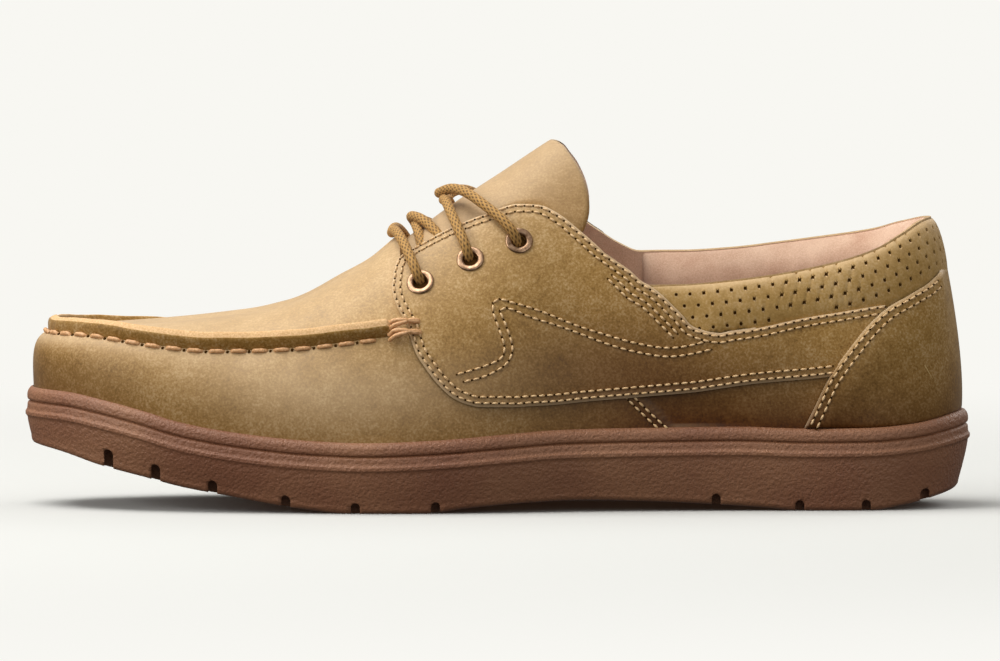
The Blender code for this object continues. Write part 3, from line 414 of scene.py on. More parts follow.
# Vulcanised gum rubber from an etched steel mould: a fine pebble all over, soft sheen, no clear gloss.
# The pebble is about 1 mm wide, and the rubber is a little lighter where it has been handled.
rubber, tree, shader = new_material("gum_rubber")
where = add(tree, "ShaderNodeTexCoord").outputs["Object"]
pebble = add(tree, "ShaderNodeTexVoronoi", {"Vector": where, "Scale": 1 / 0.0011}, feature="SMOOTH_F1")
pebble_fine = noise(tree, where, 0.0006, 3.0)
cloud = noise(tree, where, 0.03, 4.0)
tone = two_tones(tree, cloud.outputs["Fac"], 0.3, "#835339", 0.75, "#9B6C4C")
speck = add(tree, "ShaderNodeMix", {"Factor": 0.10, 6: tone.outputs["Color"]}, data_type="RGBA",
            blend_type="MULTIPLY")
tree.links.new(pebble.outputs["Distance"], speck.inputs[7])
height = add(tree, "ShaderNodeMath", {0: pebble.outputs["Distance"], 1: pebble_fine.outputs["Fac"]},
             operation="ADD")
bump = add(tree, "ShaderNodeBump", {"Height": height.outputs[0], "Strength": 0.6, "Distance": 0.0005})
tree.links.new(speck.outputs[2], shader.inputs["Base Color"])
tree.links.new(bump.outputs["Normal"], shader.inputs["Normal"])
shader.inputs["Roughness"].default_value = 0.52
shader.inputs["IOR"].default_value = 1.52

SideStep = namedtuple("SideStep", "name drop out")
SOLE_SIDE = (
    SideStep("rim", 0.00, 0.10), SideStep("rim edge", 0.03, 0.36), SideStep("bead top", 0.12, 0.60),
    SideStep("bead", 0.26, 0.76), SideStep("bead low", 0.38, 0.78), SideStep("groove top", 0.475, 0.70),
    SideStep("groove", 0.52, 0.40), SideStep("band top", 0.575, 0.64), SideStep("band edge", 0.64, 0.74),
    SideStep("band", 0.82, 0.79), SideStep("rib top", 0.87, 0.86), SideStep("rib", 0.94, 1.00),
    SideStep("rib face", 1.04, 0.99), SideStep("rib low", 1.10, 0.84),
    SideStep("rib underside", 1.16, 0.74),
)
Notch = namedtuple("Notch", "along height")
NOTCHES = (
    Notch(0.091, 0.0058), Notch(0.141, 0.0051), Notch(0.201, 0.0041), Notch(0.278, 0.0036),
    Notch(0.351, 0.0034), Notch(0.435, 0.0034), Notch(0.73, 0.0034), Notch(0.818, 0.0034),
    Notch(0.888, 0.0034), Notch(0.95, 0.0036),
)
NOTCH_WIDTH = 0.0029
NOTCH_DEPTH = 0.011
SOLE_COLUMNS = 480
WALL_ROWS = 14
CORNER_ROWS = 6
CORNER_DROP = 0.0022

turns = 2 * math.pi * np.arange(SOLE_COLUMNS) / SOLE_COLUMNS
inset = feather_inset(turns)
edge = outline(turns)
rim = rim_round(turns)


def sole_row(inward, z):
    return np.concatenate([outline(turns, inward), np.broadcast_to(z, turns.shape)[:, None]], axis=1)


rows = [sole_row(inset - GAP, rim - CUP_DEPTH), sole_row(inset - GAP, rim - 0.0002)]
drops = [step.drop for step in SOLE_SIDE]
outs = [step.out for step in SOLE_SIDE]
for drop in np.unique(np.concatenate([drops, np.linspace(0.12, 1.16, 30)])):
    out = float(smooth(drops, outs, drop))
    rows.append(sole_row(RIB_OUT * (1 - out), rim - drop * RIB_DROP))
rib_low = rim - SOLE_SIDE[-1].drop * RIB_DROP
start = RIB_OUT * (1 - SOLE_SIDE[-1].out)
taper = SOLE_TAPER * (0.40 + 0.60 * np.clip((edge[:, 0] + 0.150) / 0.040, 0, 1))
for k in range(1, WALL_ROWS + 1):
    t = k / WALL_ROWS
    row = sole_row(start + taper * 0.70 * t**1.3, rib_low)
    row[:, 2] += (ground_at(row[:, 0]) + CORNER_DROP - rib_low) * t
    rows.append(row)
for k in range(1, CORNER_ROWS + 1):
    a = math.pi / 2 * k / CORNER_ROWS
    row = sole_row(start + taper * (0.70 + 0.50 * (1 - math.cos(a))), rib_low)
    row[:, 2] = ground_at(row[:, 0]) + CORNER_DROP * (1 - math.sin(a))
    rows.append(row)


def close_ring(start, ring, across, height_of, lift, points, faces):
    """Closes a ring of the mesh with rows of quads that run across the shoe."""
    half = len(ring) // 2
    first = len(points)
    for i in range(1, half):
        a, b = ring[i], ring[len(ring) - i]
        for k in range(1, across):
            p = a + (b - a) * k / across
            p[2] = height_of(p[0]) + lift
            points.append(p)

    def index(i, k):
        if k == 0 or i in (0, half):
            return start + i
        if k == across:
            return start + len(ring) - i
        return first + (i - 1) * (across - 1) + k - 1

    for i in range(half):
        for k in range(across):
            corners = [index(i, k), index(i + 1, k), index(i + 1, k + 1), index(i, k + 1)]
            faces.append(tuple(dict.fromkeys(corners)))


points = [p.copy() for row in rows for p in row]
faces = grid_faces(len(rows), SOLE_COLUMNS, True)
close_ring(0, rows[0], 12, rim_at, -CUP_DEPTH, points, faces)
close_ring((len(rows) - 1) * SOLE_COLUMNS, rows[-1], 24, ground_at, 0.0, points, faces)
sole = make_piece("moulded_sole", points, faces, rubber, 60)


def cut(thing, name, points, faces):
    """Cuts a throw-away mesh out of a piece."""
    cutter = make_piece(name, points, faces, thing.data.materials[0])
    modifier = thing.modifiers.new(name, "BOOLEAN")
    modifier.operation = "DIFFERENCE"
    modifier.solver = "EXACT"
    modifier.object = cutter
    graph = bpy.context.evaluated_depsgraph_get()
    result = bpy.data.meshes.new_from_object(thing.evaluated_get(graph))
    thing.modifiers.clear()
    thing.data = result
    bpy.data.objects.remove(cutter, do_unlink=True)


points, faces = [], []
arc = [(math.cos(a), math.sin(a)) for a in np.linspace(0, math.pi, 12)]
radius = NOTCH_WIDTH / 2
for share, tall in NOTCHES:
    x = float(x_at(share))
    base = float(ground_at(x))
    slope = float(ground_at(x + 0.002) - ground_at(x - 0.002)) / 0.004
    section = [(radius, -0.004)]
    section += [(radius * c, tall - radius + radius * s) for c, s in arc]
    section += [(-radius, -0.004)]
    for name, sign in (("outer", -1), ("inner", 1)):
        side_y = sign * float(half_width(share, name)) + float(middle(share)) - CENTRE_Y
        first = len(points)
        for y in (side_y + sign * 0.004, side_y - sign * NOTCH_DEPTH):
            points += [(x + a, y, base + b + slope * a) for a, b in section]
        faces += tube_faces(2, len(section), first)
cut(sole, "slots", points, faces)

# Under the shoe, fine zigzag cuts cross the tread between the slots and stop short of its edge.
SIPE_PITCH = 0.0072
SIPE_WIDTH = 0.0011
SIPE_DEPTH = 0.0013
SIPE_SWAY = 0.0016
SIPE_MARGIN = 0.011
points, faces = [], []
for x in np.arange(-0.128, 0.134, SIPE_PITCH):
    share = float(along(x))
    low = float(middle(share)) - CENTRE_Y - float(half_width(share, "outer")) + SIPE_MARGIN
    high = float(middle(share)) - CENTRE_Y + float(half_width(share, "inner")) - SIPE_MARGIN
    if high - low < 0.02:
        continue
    bends = np.linspace(low, high, 2 * int((high - low) / 0.008) + 1)
    first = len(points)
    for k, y in enumerate(bends):
        at_x = x + SIPE_SWAY * (-1 if k % 2 else 1)
        for a, b in ((-1, -0.003), (1, -0.003), (1, SIPE_DEPTH), (-1, SIPE_DEPTH)):
            points.append((at_x + a * SIPE_WIDTH / 2, y, float(ground_at(at_x)) + b))
    faces += tube_faces(len(bends), 4, first)
cut(sole, "sipes", points, faces)
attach(sole, "root")
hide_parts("sole")

# The upper's body: vamp walls and the plug over the toes in one hide, lasted over the form, cemented
# into the sole and cut away at the throat and collar. Waxed full-grain leather, 2 mm thick.


def last_form(turn, up):
    """A point of the last's outer form: up is 0 at the feather line and 1 on the crest line."""
    turn, up = np.broadcast_arrays(np.asarray(turn, float), np.asarray(up, float))
    share = 0.5 - 0.5 * np.cos(turn)
    foot = outline(turn, feather_inset(turn))
    foot_z = rim_round(turn)
    spine_share = SPINE_TOE + (SPINE_HEEL - SPINE_TOE) * share
    top_x = x_at(spine_share)
    top_y = middle(spine_share) - CENTRE_Y
    top_z = crest_at(top_x)
    span = np.stack([foot[..., 0] - top_x, foot[..., 1] - top_y], axis=-1)
    reach = np.linalg.norm(span, axis=-1)
    away = span / reach[..., None]
    slope = (crest_at(top_x + 1e-4) - crest_at(top_x - 1e-4)) / 2e-4
    lean = column(SECTIONS, "lean", share) * BALL_WIDTH / 2
    shoulder = column(SECTIONS, "shoulder", share)
    flat = column(SECTIONS, "flat", share)
    t = up[..., None]
    xy1 = foot + away * lean[..., None]
    xy3 = np.stack([top_x, top_y], axis=-1)
    xy2 = xy3 + span * flat[..., None]
    xy = foot * (1 - t) ** 3 + 3 * xy1 * t * (1 - t) ** 2 + 3 * xy2 * t * t * (1 - t) + xy3 * t**3
    z1 = foot_z + shoulder * (top_z - foot_z)
    z2 = top_z + slope * away[..., 0] * reach * flat * 0.3
    z = foot_z * (1 - up) ** 3 + 3 * z1 * up * (1 - up) ** 2 + 3 * z2 * up * up * (1 - up) + top_z * up**3
    return np.concatenate([xy, z[..., None]], axis=-1)


def last_normal(turn, up):
    small = 1e-3
    up = np.clip(up, small, 0.96)
    round_it = last_form(turn + small, up) - last_form(turn - small, up)
    rise = last_form(turn, up + small) - last_form(turn, up - small)
    return unit(np.cross(round_it, rise))


def last_point(turn, up, out):
    return last_form(turn, up) + np.asarray(out)[..., None] * last_normal(turn, up)


def find_on_side(x, z, side, out=0.0):
    """Turns and ups where the form moved out has these x and z, on side -1 (outer) or +1 (inner)."""
    x, z = np.atleast_1d(np.asarray(x, float)), np.atleast_1d(np.asarray(z, float))
    turn = np.arccos(np.clip(1 - 2 * along(x), -0.999, 0.999))
    turn = 2 * math.pi - turn if side > 0 else turn
    up = np.full(len(x), 0.4)
    small = 1e-4
    for _ in range(40):
        here = last_point(turn, up, out)
        by_turn = (last_point(turn + small, up, out) - here) / small
        by_up = (last_point(turn, up + small, out) - here) / small
        wrong_x, wrong_z = x - here[:, 0], z - here[:, 2]
        size = by_turn[:, 0] * by_up[:, 2] - by_turn[:, 2] * by_up[:, 0]
        turn = turn + np.clip((wrong_x * by_up[:, 2] - wrong_z * by_up[:, 0]) / size, -0.15, 0.15)
        up = np.clip(up + np.clip((wrong_z * by_turn[:, 0] - wrong_x * by_turn[:, 2]) / size, -0.15, 0.15),
                     0, 0.99)
    return turn, up


def top_line(spots):
    """Height of the top line over points of the shoe."""
    share = along(spots[..., 0])
    side = np.clip(0.5 + spots[..., 1] / (BALL_WIDTH / 2), 0, 1)
    return column(TOP_LINE, "outer", share) * (1 - side) + column(TOP_LINE, "inner", share) * side


# Waxed, oiled steer hide rubbed back by hand, over a fine pore grain about 0.8 mm across. It goes pale where
# rubbed along panel edges; its colour is also paled as painted highlight and darkened for wax and as painted
# shade.
def leather_material(name, dark, mid, pale, grain=1.0, roughness=0.47, speckle=0.55):
    material, tree, shader = new_material(name)
    where = add(tree, "ShaderNodeTexCoord").outputs["Object"]
    warp = noise(tree, where, 0.02, 3.0)
    bent = add(tree, "ShaderNodeVectorMath", {0: where}, operation="ADD")
    shift = add(tree, "ShaderNodeVectorMath", {0: warp.outputs["Color"], "Scale": 0.006}, operation="SCALE")
    tree.links.new(shift.outputs[0], bent.inputs[1])
    cloud = noise(tree, bent.outputs[0], 0.022, 7.0, 0.62)
    blot = noise(tree, bent.outputs[0], 0.0035, 6.0, 0.7)
    pores = noise(tree, where, 0.00075, 2.0, 0.6)
    cells = add(tree, "ShaderNodeTexVoronoi", {"Vector": where, "Scale": 1 / 0.0008},
                feature="DISTANCE_TO_EDGE")
    base = add(tree, "ShaderNodeMath", {0: blot.outputs["Fac"], 1: 0.36, 2: 0.15}, operation="MULTIPLY_ADD")
    both = add(tree, "ShaderNodeMath", {0: cloud.outputs["Fac"], 1: 0.34, 2: base.outputs[0]},
               operation="MULTIPLY_ADD")
    fine = add(tree, "ShaderNodeMath", {0: pores.outputs["Fac"], 1: speckle, 2: -speckle / 2},
               operation="MULTIPLY_ADD")
    mixed = add(tree, "ShaderNodeMath", {0: both.outputs[0], 1: fine.outputs[0]}, operation="ADD")
    tone = two_tones(tree, mixed.outputs[0], 0.28, dark, 0.74, pale)
    middle_stop = tone.color_ramp.elements.new(0.50)
    middle_stop.color = hex_colour(mid)
    # Painted shade with real wax darkening: this attribute multiplies the tone towards a dark brown.
    shade = add(tree, "ShaderNodeAttribute", attribute_name="depth")
    deep = add(tree, "ShaderNodeMix", {"Factor": shade.outputs["Fac"], 6: tone.outputs["Color"],
                                       7: hex_colour("#80590C")}, data_type="RGBA", blend_type="MULTIPLY")
    # Painted highlight with real edge wear: this attribute mixes in a pale tan.
    pale_wear_and_highlight = add(tree, "ShaderNodeAttribute", attribute_name="wear_and_highlight")
    worn_and_lit = add(tree, "ShaderNodeMix", {"Factor": pale_wear_and_highlight.outputs["Fac"], 6: deep.outputs[2],
                                       7: hex_colour("#D9BF9E")}, data_type="RGBA", blend_type="MIX")
    tree.links.new(worn_and_lit.outputs[2], shader.inputs["Base Color"])
    gloss = add(tree, "ShaderNodeMapRange", {"Value": mixed.outputs[0], "From Min": 0.3, "From Max": 0.7,
                                             "To Min": roughness - 0.07, "To Max": roughness + 0.12})
    tree.links.new(gloss.outputs[0], shader.inputs["Roughness"])
    rise = add(tree, "ShaderNodeMath", {0: cells.outputs["Distance"], 1: 0.5, 2: pores.outputs["Fac"]},
               operation="MULTIPLY_ADD")
    bump = add(tree, "ShaderNodeBump", {"Height": rise.outputs[0], "Strength": 0.22 * grain,
                                        "Distance": 0.0002})
    soft = add(tree, "ShaderNodeBump", {"Height": blot.outputs["Fac"], "Strength": 0.25 * grain,
                                        "Distance": 0.0005, "Normal": bump.outputs["Normal"]})
    tree.links.new(soft.outputs["Normal"], shader.inputs["Normal"])
    shader.inputs["IOR"].default_value = 1.48
    shader.inputs["Specular IOR Level"].default_value = 0.22
    shader.inputs["Sheen Weight"].default_value = 0.06
    shader.inputs["Sheen Roughness"].default_value = 0.45
    return material


waxed_leather = leather_material("waxed_leather", "#745014", "#A57F42", "#D2B486")

# Split pig suede glued inside the upper: brushed nap, no gloss, uneven where it has been stroked.
suede, tree, shader = new_material("pig_suede_lining")
where = add(tree, "ShaderNodeTexCoord").outputs["Object"]
nap = noise(tree, where, 0.0005, 5.0, 0.7)
brushed = noise(tree, where, 0.012, 3.0)
mixed = add(tree, "ShaderNodeMath", {0: nap.outputs["Fac"], 1: 0.45, 2: 0.0}, operation="MULTIPLY_ADD")
both = add(tree, "ShaderNodeMath", {0: brushed.outputs["Fac"], 1: 0.55, 2: mixed.outputs[0]},
           operation="MULTIPLY_ADD")
tone = two_tones(tree, both.outputs[0], 0.35, "#BB927A", 0.66, "#E4C6AE")
tree.links.new(tone.outputs["Color"], shader.inputs["Base Color"])
bump = add(tree, "ShaderNodeBump", {"Height": nap.outputs["Fac"], "Strength": 0.35, "Distance": 0.0003})
tree.links.new(bump.outputs["Normal"], shader.inputs["Normal"])
shader.inputs["Roughness"].default_value = 0.95
shader.inputs["Sheen Weight"].default_value = 0.25
shader.inputs["Sheen Roughness"].default_value = 0.5
shader.inputs["Specular IOR Level"].default_value = 0.15

HIDE_COLUMNS = 600
HIDE_ROWS = 70
SKIRT = 0.0042

turns = 2 * math.pi * np.arange(HIDE_COLUMNS) / HIDE_COLUMNS
tests = np.linspace(0, 1, 401)
spots = last_form(turns[:, None], tests[None, :])
above = (spots[..., 2] > top_line(spots)) & (along(spots[..., 0]) > THROAT_FRONT)
first_above = np.where(above.any(axis=1), above.argmax(axis=1), 400)
OPEN = first_above < 400
UP_TOP = tests[first_above]
for i in np.nonzero(OPEN)[0]:
    over = spots[i, :, 2] - top_line(spots[i])
    k = first_above[i]
    if k > 0 and over[k - 1] < 0:
        UP_TOP[i] = tests[k - 1] + (tests[k] - tests[k - 1]) * -over[k - 1] / (over[k] - over[k - 1])


def wax_and_painted_shade(points):
    """How dark the hide is painted, partly for wax and partly as painted shade: more down by the sole, in
    the middle of the side and round the toe.
    """
    rise = points[:, 2] - rim_at(points[:, 0])
    low = np.clip(1 - rise / 0.030, 0, 1) ** 1.3
    rear = np.clip((points[:, 0] - 0.005) / 0.05, 0, 1)
    toe = np.clip(1 - (points[:, 0] + 0.150) / 0.045, 0, 1) * np.clip(1.5 - rise / 0.014, 0, 1)
    flank = np.exp(-(((points[:, 0] - 0.035) / 0.045) ** 2)) * np.exp(-(((rise - 0.022) / 0.016) ** 2))
    heel = np.clip((points[:, 0] - 0.110) / 0.03, 0, 1)
    return np.clip(low * (0.42 + 0.50 * rear * (1 - 0.6 * heel)) + 0.30 * np.clip(toe, 0, 1) + 0.55 * flank
                   + 0.06 * rear, 0, 1)


VAMP_STEP = ((0.0443, 0.0363), (0.0498, 0.0316), (0.0548, 0.0262))


def vamp_step(points):
    """The thickness lost behind the vamp's rear edge, which shows below the quarters."""
    edge_x = np.interp(-points[:, 2], [-row[1] for row in VAMP_STEP], [row[0] for row in VAMP_STEP])
    behind = points[:, 0] - edge_x
    return -0.0009 * np.clip(behind / 0.0008, 0, 1) * np.clip(1 - behind / 0.03, 0,
                                                              1) * (points[:, 2] < 0.042)


def paint(thing, name, values):
    """Keeps one number a point on the mesh, for its material."""
    layer = thing.data.attributes.new(name, "FLOAT", "POINT")
    layer.data.foreach_set("value", np.asarray(values, np.float32))


def points_of(thing):
    found = np.empty(len(thing.data.vertices) * 3, np.float32)
    thing.data.vertices.foreach_get("co", found)
    return found.reshape(-1, 3).astype(float)


Crease = namedtuple("Crease", "along up half_length half_width depth tilt")
CREASES = (
    Crease(0.262, 0.80, 0.020, 0.0040, 0.00045, 0.5),
    Crease(0.300, 0.83, 0.024, 0.0045, 0.00055, 0.7),
    Crease(0.338, 0.86, 0.024, 0.0040, 0.00050, 0.9),
    Crease(0.330, 0.40, 0.018, 0.0050, 0.00035, 2.3),
    Crease(0.372, 0.36, 0.016, 0.0050, 0.00040, 2.0),
)


def creases_at(points):
    """Soft troughs across the tread bend, with a faint ridge on each side of them."""
    total = np.zeros(len(points))
    for crease in CREASES:
        x, z = points[:, 0] - float(x_at(crease.along)), points[:, 2] - crease.up * INSTEP_HEIGHT
        a = x * math.cos(crease.tilt) + z * math.sin(crease.tilt)
        b = z * math.cos(crease.tilt) - x * math.sin(crease.tilt)
        t = (b / crease.half_width) ** 2
        total -= crease.depth * (1 - t) * np.exp(-t) * np.exp(-((a / crease.half_length) ** 2))
    return total


rows = []
foot = last_form(turns, 0.0)
down = foot.copy()
down[:, 2] -= SKIRT
shares = (np.arange(HIDE_ROWS + 1) / HIDE_ROWS) ** 0.95
inner_foot = foot.copy()
inner_foot[:, :2] = outline(turns, feather_inset(turns) + WALL)
inner_down = inner_foot.copy()
inner_down[:, 2] -= SKIRT
for out, layer in ((0.0, [down, foot]), (-WALL, [inner_down, inner_foot])):
    for share in shares[1:]:
        up = UP_TOP * share
        row = last_point(turns, up, np.full(len(turns), out))
        row += (creases_at(row) + vamp_step(row))[:, None] * last_normal(turns, up)
        row[(~OPEN) & (share == 1.0), 1] = last_form(turns, 1.0)[(~OPEN) & (share == 1.0), 1]
        layer.append(row)
    rows.append(layer)
count = len(rows[0]) * HIDE_COLUMNS
points = [p for layer in rows for row in layer for p in row]
faces = grid_faces(len(rows[0]), HIDE_COLUMNS, True)
faces += [tuple(count + i for i in face[::-1]) for face in grid_faces(len(rows[1]), HIDE_COLUMNS, True)]
last_row = count - HIDE_COLUMNS
for i in range(HIDE_COLUMNS):
    j = (i + 1) % HIDE_COLUMNS
    faces.append((j, i, count + i, count + j))
    if OPEN[i] and OPEN[j]:
        faces.append((last_row + i, last_row + j, count + last_row + j, count + last_row + i))
hide = make_piece("vamp_and_plug", points, faces, waxed_leather, 60)
hide.data.materials.append(suede)
outer_count = (len(rows[0]) - 1) * HIDE_COLUMNS
for polygon in list(hide.data.polygons)[outer_count : 2 * outer_count]:
    polygon.material_index = 1
made = bmesh.new()
made.from_mesh(hide.data)
bmesh.ops.remove_doubles(made, verts=made.verts, dist=2e-5)
bmesh.ops.recalc_face_normals(made, faces=made.faces)
made.to_mesh(hide.data)
made.free()
hide.data.shade_smooth()
# The hide is darkened for wax and as painted shade, low down, mid-flank and round the toe.
paint(hide, "depth", wax_and_painted_shade(points_of(hide)))
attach(hide, "root")
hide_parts("upper")

# The quarters: one panel a side, from the eyestay back to the heel, cut from the same hide and laid
# over the vamp. Their edges are left raw and turn down over a rounded skive, and two rows of machine
# stitching hold them. The panel is 1.3 mm thick.



def run_along(line):
    """Distance from a line's start to each of its points."""
    return np.concatenate([[0], np.cumsum(np.linalg.norm(np.diff(line, axis=0), axis=1))])


GIRTH_TURNS = np.linspace(-0.5, 2 * math.pi + 0.5, 4001)
GIRTH = run_along(outline(GIRTH_TURNS))
TALL = 0.075
LINE_STEP = 0.0006


def girth_at(turn):
    """Metres round the sole's line at a turn."""
    return np.interp(turn, GIRTH_TURNS, GIRTH)


def flatten(turn, up):
    """The form laid flat: metres round the sole's line, and metres up the wall."""
    return np.stack([girth_at(turn), np.asarray(up) * TALL], axis=-1)


def unflatten(flat):
    return np.interp(flat[..., 0], GIRTH, GIRTH_TURNS), flat[..., 1] / TALL


def curve_through(points, step, closed=False):
    """A smooth curve through the points, cut into even steps."""
    points = np.asarray(points, float)
    if closed:
        padded = np.concatenate([points[-1:], points, points[:2]])
    else:
        padded = np.concatenate([2 * points[:1] - points[1:2], points, 2 * points[-1:] - points[-2:-1]])
    fine = []
    for k in range(1, len(padded) - 2):
        p0, p1, p2, p3 = padded[k - 1 : k + 3]
        t = np.linspace(0, 1, 24, endpoint=False)[:, None]
        fine.append(0.5 * (2 * p1 + (p2 - p0) * t + (2 * p0 - 5 * p1 + 4 * p2 - p3) * t * t
                           + (3 * p1 - p0 - 3 * p2 + p3) * t**3))
    fine = np.concatenate(fine + ([points[:1]] if closed else [points[-1:]]))
    return even(fine, step)


def even(line, step):
    """The same line cut into even steps of about that length."""
    run = run_along(line)
    count = max(2, int(round(run[-1] / step)) + 1)
    at = np.linspace(0, run[-1], count)
    return np.stack([np.interp(at, run, line[:, k]) for k in range(line.shape[1])], axis=1)


def inside(points, loop):
    x, y = points[:, 0, None], points[:, 1, None]
    a, b = loop, np.roll(loop, -1, axis=0)
    crosses = (a[:, 1] > y) != (b[:, 1] > y)
    rise = np.where(a[:, 1] == b[:, 1], 1, b[:, 1] - a[:, 1])
    return (crosses & (x < a[:, 0] + (y - a[:, 1]) * (b[:, 0] - a[:, 0]) / rise)).sum(axis=1) % 2 == 1


def nearest(points, line):
    """Distance of each point from the nearest point of a finely cut line."""
    found = np.empty(len(points))
    for k in range(0, len(points), 2000):
        part = points[k : k + 2000, None, :] - line[None, :, :]
        found[k : k + 2000] = np.sqrt((part**2).sum(axis=-1).min(axis=1))
    return found


EDGE_ROWS = (0.00022, 0.0005, 0.0009)
ON_EDGE_WITHIN = 2e-5


def fill(loop, step, rings=EDGE_ROWS, extra=None):
    """Triangles over a flat outline: even points inside it, and closer rows along its edge."""
    low, high = loop.min(axis=0), loop.max(axis=0)
    grid = []
    for k, v in enumerate(np.arange(low[1], high[1], step * 0.866)):
        us = np.arange(low[0] + (k % 2) * step / 2, high[0], step)
        grid.append(np.stack([us, np.full(len(us), v)], axis=1))
    grid = np.concatenate(grid)
    grid = grid[inside(grid, loop)]
    grid = grid[nearest(grid, even(np.vstack([loop, loop[:1]]), step / 3)) > rings[-1] + step * 0.45]
    ahead = unit(np.roll(loop, -1, axis=0) - np.roll(loop, 1, axis=0))
    area = np.sum(loop[:, 0] * np.roll(loop[:, 1], -1) - np.roll(loop[:, 0], -1) * loop[:, 1])
    inward = np.stack([-ahead[:, 1], ahead[:, 0]], axis=1) * np.sign(area)
    edge_line = even(np.vstack([loop, loop[:1]]), 0.0002)
    near_rows = []
    for distance in rings:
        row = loop + inward * distance
        row = row[inside(row, loop)]
        near_rows.append(row[nearest(row, edge_line) > distance * 0.9])
    interior = [grid] + near_rows
    if extra is not None:
        interior = [part[nearest(part, extra) > step * 0.6] for part in interior] + [extra]
    every = np.concatenate([loop] + interior)
    flat, _, triangles, _, _, _ = delaunay_2d_cdt(
        [Vector(p * 1000) for p in every], [], [list(range(len(loop)))], 1, 1e-5
    )
    flat = np.array([tuple(p) for p in flat]) / 1000
    return flat, [tuple(t) for t in triangles], edge_line


def close_sheet(name, top, under, on_edge, triangles, material):
    """A closed sheet from its upper and lower points, which share those on its edge."""
    index = np.arange(len(top))
    under_index = np.where(on_edge, index, index + len(top))
    faces = list(triangles) + [tuple(int(under_index[i]) for i in t[::-1]) for t in triangles]
    thing = make_piece(name, np.concatenate([top, under]), faces, material, 75)
    made = bmesh.new()
    made.from_mesh(thing.data)
    bmesh.ops.delete(made, geom=[v for v in made.verts if not v.link_faces], context="VERTS")
    made.to_mesh(thing.data)
    made.free()
    return thing


def make_panel(name, loop, step, height_of, material, buried=-0.0003, rings=EDGE_ROWS, extra=None):
    """A closed sheet on the form: height_of gives its top over (flat points, distance from the edge)."""
    flat, triangles, edge_line = fill(loop, step, rings, extra)
    distance = nearest(flat, edge_line)
    on_edge = distance < ON_EDGE_WITHIN
    turn, up = unflatten(flat)
    base, normal = last_form(turn, up), last_normal(turn, up)
    top = base + normal * np.where(on_edge, buried, height_of(flat, distance, base))[:, None]
    return close_sheet(name, top, base + normal * buried, on_edge, triangles, material)


def rolled_edge(distance, radius):
    """Share of the full height at a distance from an edge that rounds down over this radius."""
    return np.sqrt(np.clip(1 - (1 - np.clip(distance / radius, 0, 1)) ** 2, 0, 1))


def skived(distance, thick):
    """Height of a raw leather edge that rounds down over a small radius."""
    return thick * (0.45 + 0.55 * rolled_edge(distance, 0.0007))


def side_line(points, side, out=0.0):
    """Points given as shares of length and instep height, as a smooth line on the flattened form."""
    points = np.asarray(points, float)
    turn, up = find_on_side(x_at(points[:, 0]), points[:, 1] * INSTEP_HEIGHT, side, out)
    return curve_through(flatten(turn, up), LINE_STEP)


def photo_line(*pixels):
    """Places read off the photo's outer side, as shares of length and instep height."""
    return [
        ((px - PHOTO_CENTRE_X) / PIXELS_PER_MM / 1000 / LENGTH + 0.5,
         (PHOTO_FLOOR_Y - py) / PIXELS_PER_MM / 1000 / INSTEP_HEIGHT)
        for px, py in pixels
    ]


QUARTER_FRONT = photo_line((417, 248), (405, 255), (397, 262), (393, 275), (391.6, 291), (396, 305),
                           (402, 316), (408.6, 328), (415.7, 350), (428, 369), (441, 385), (455, 397),
                           (473, 404), (494, 406.5))
QUARTER_FOOT = photo_line((515, 406), (553, 404.4), (591, 401), (630, 398), (668, 395), (700, 392),
                          (759, 384), (822, 378.6), (850, 374))
QUARTER_BACK = photo_line((875, 352), (893, 325), (899, 305))
QUARTER_TOP = photo_line((883, 306), (861, 309), (810, 317), (759, 327.6), (725, 332.5), (705, 335))
EYESTAY_BACK = photo_line((692, 327.6), (677, 312), (656, 292), (640, 282), (633.5, 276), (621, 264))


def top_edge(start, stop, side):
    """The top line between two shares of length, on the flattened form."""
    side_turns = turns[(turns > 0) & (turns < math.pi)] if side < 0 else turns[(turns > math.pi)]
    picked = np.isin(turns, side_turns) & OPEN
    crest_xyz = last_form(turns[picked], UP_TOP[picked])
    share = along(crest_xyz[:, 0])
    order = np.argsort(share)
    share, turn, up = share[order], turns[picked][order], UP_TOP[picked][order]
    at = np.linspace(start, stop, 60)
    return even(flatten(np.interp(at, share, turn), np.interp(at, share, up)), LINE_STEP)


def join_lines(*lines):
    """One closed loop from lines that follow each other, without doubled points."""
    joined = [lines[0]]
    for line in lines[1:]:
        joined.append(line if np.linalg.norm(line[0] - joined[-1][-1]) > 3e-4 else line[1:])
    loop = np.concatenate(joined)
    gap = np.linalg.norm(loop - np.roll(loop, 1, axis=0), axis=1)
    return loop[gap > 1.5e-4]


def evenly(line, pitch, whole=2):
    """Places on a flattened line that are evenly spaced over the real surface."""
    run = run_along(last_form(*unflatten(line)))
    count = max(whole, whole * int(round(run[-1] / pitch))) + 1
    at = np.linspace(0, run[-1], count)
    return np.stack([np.interp(at, run, line[:, 0]), np.interp(at, run, line[:, 1])], axis=1)


def lifted(line):
    return last_form(*unflatten(line))


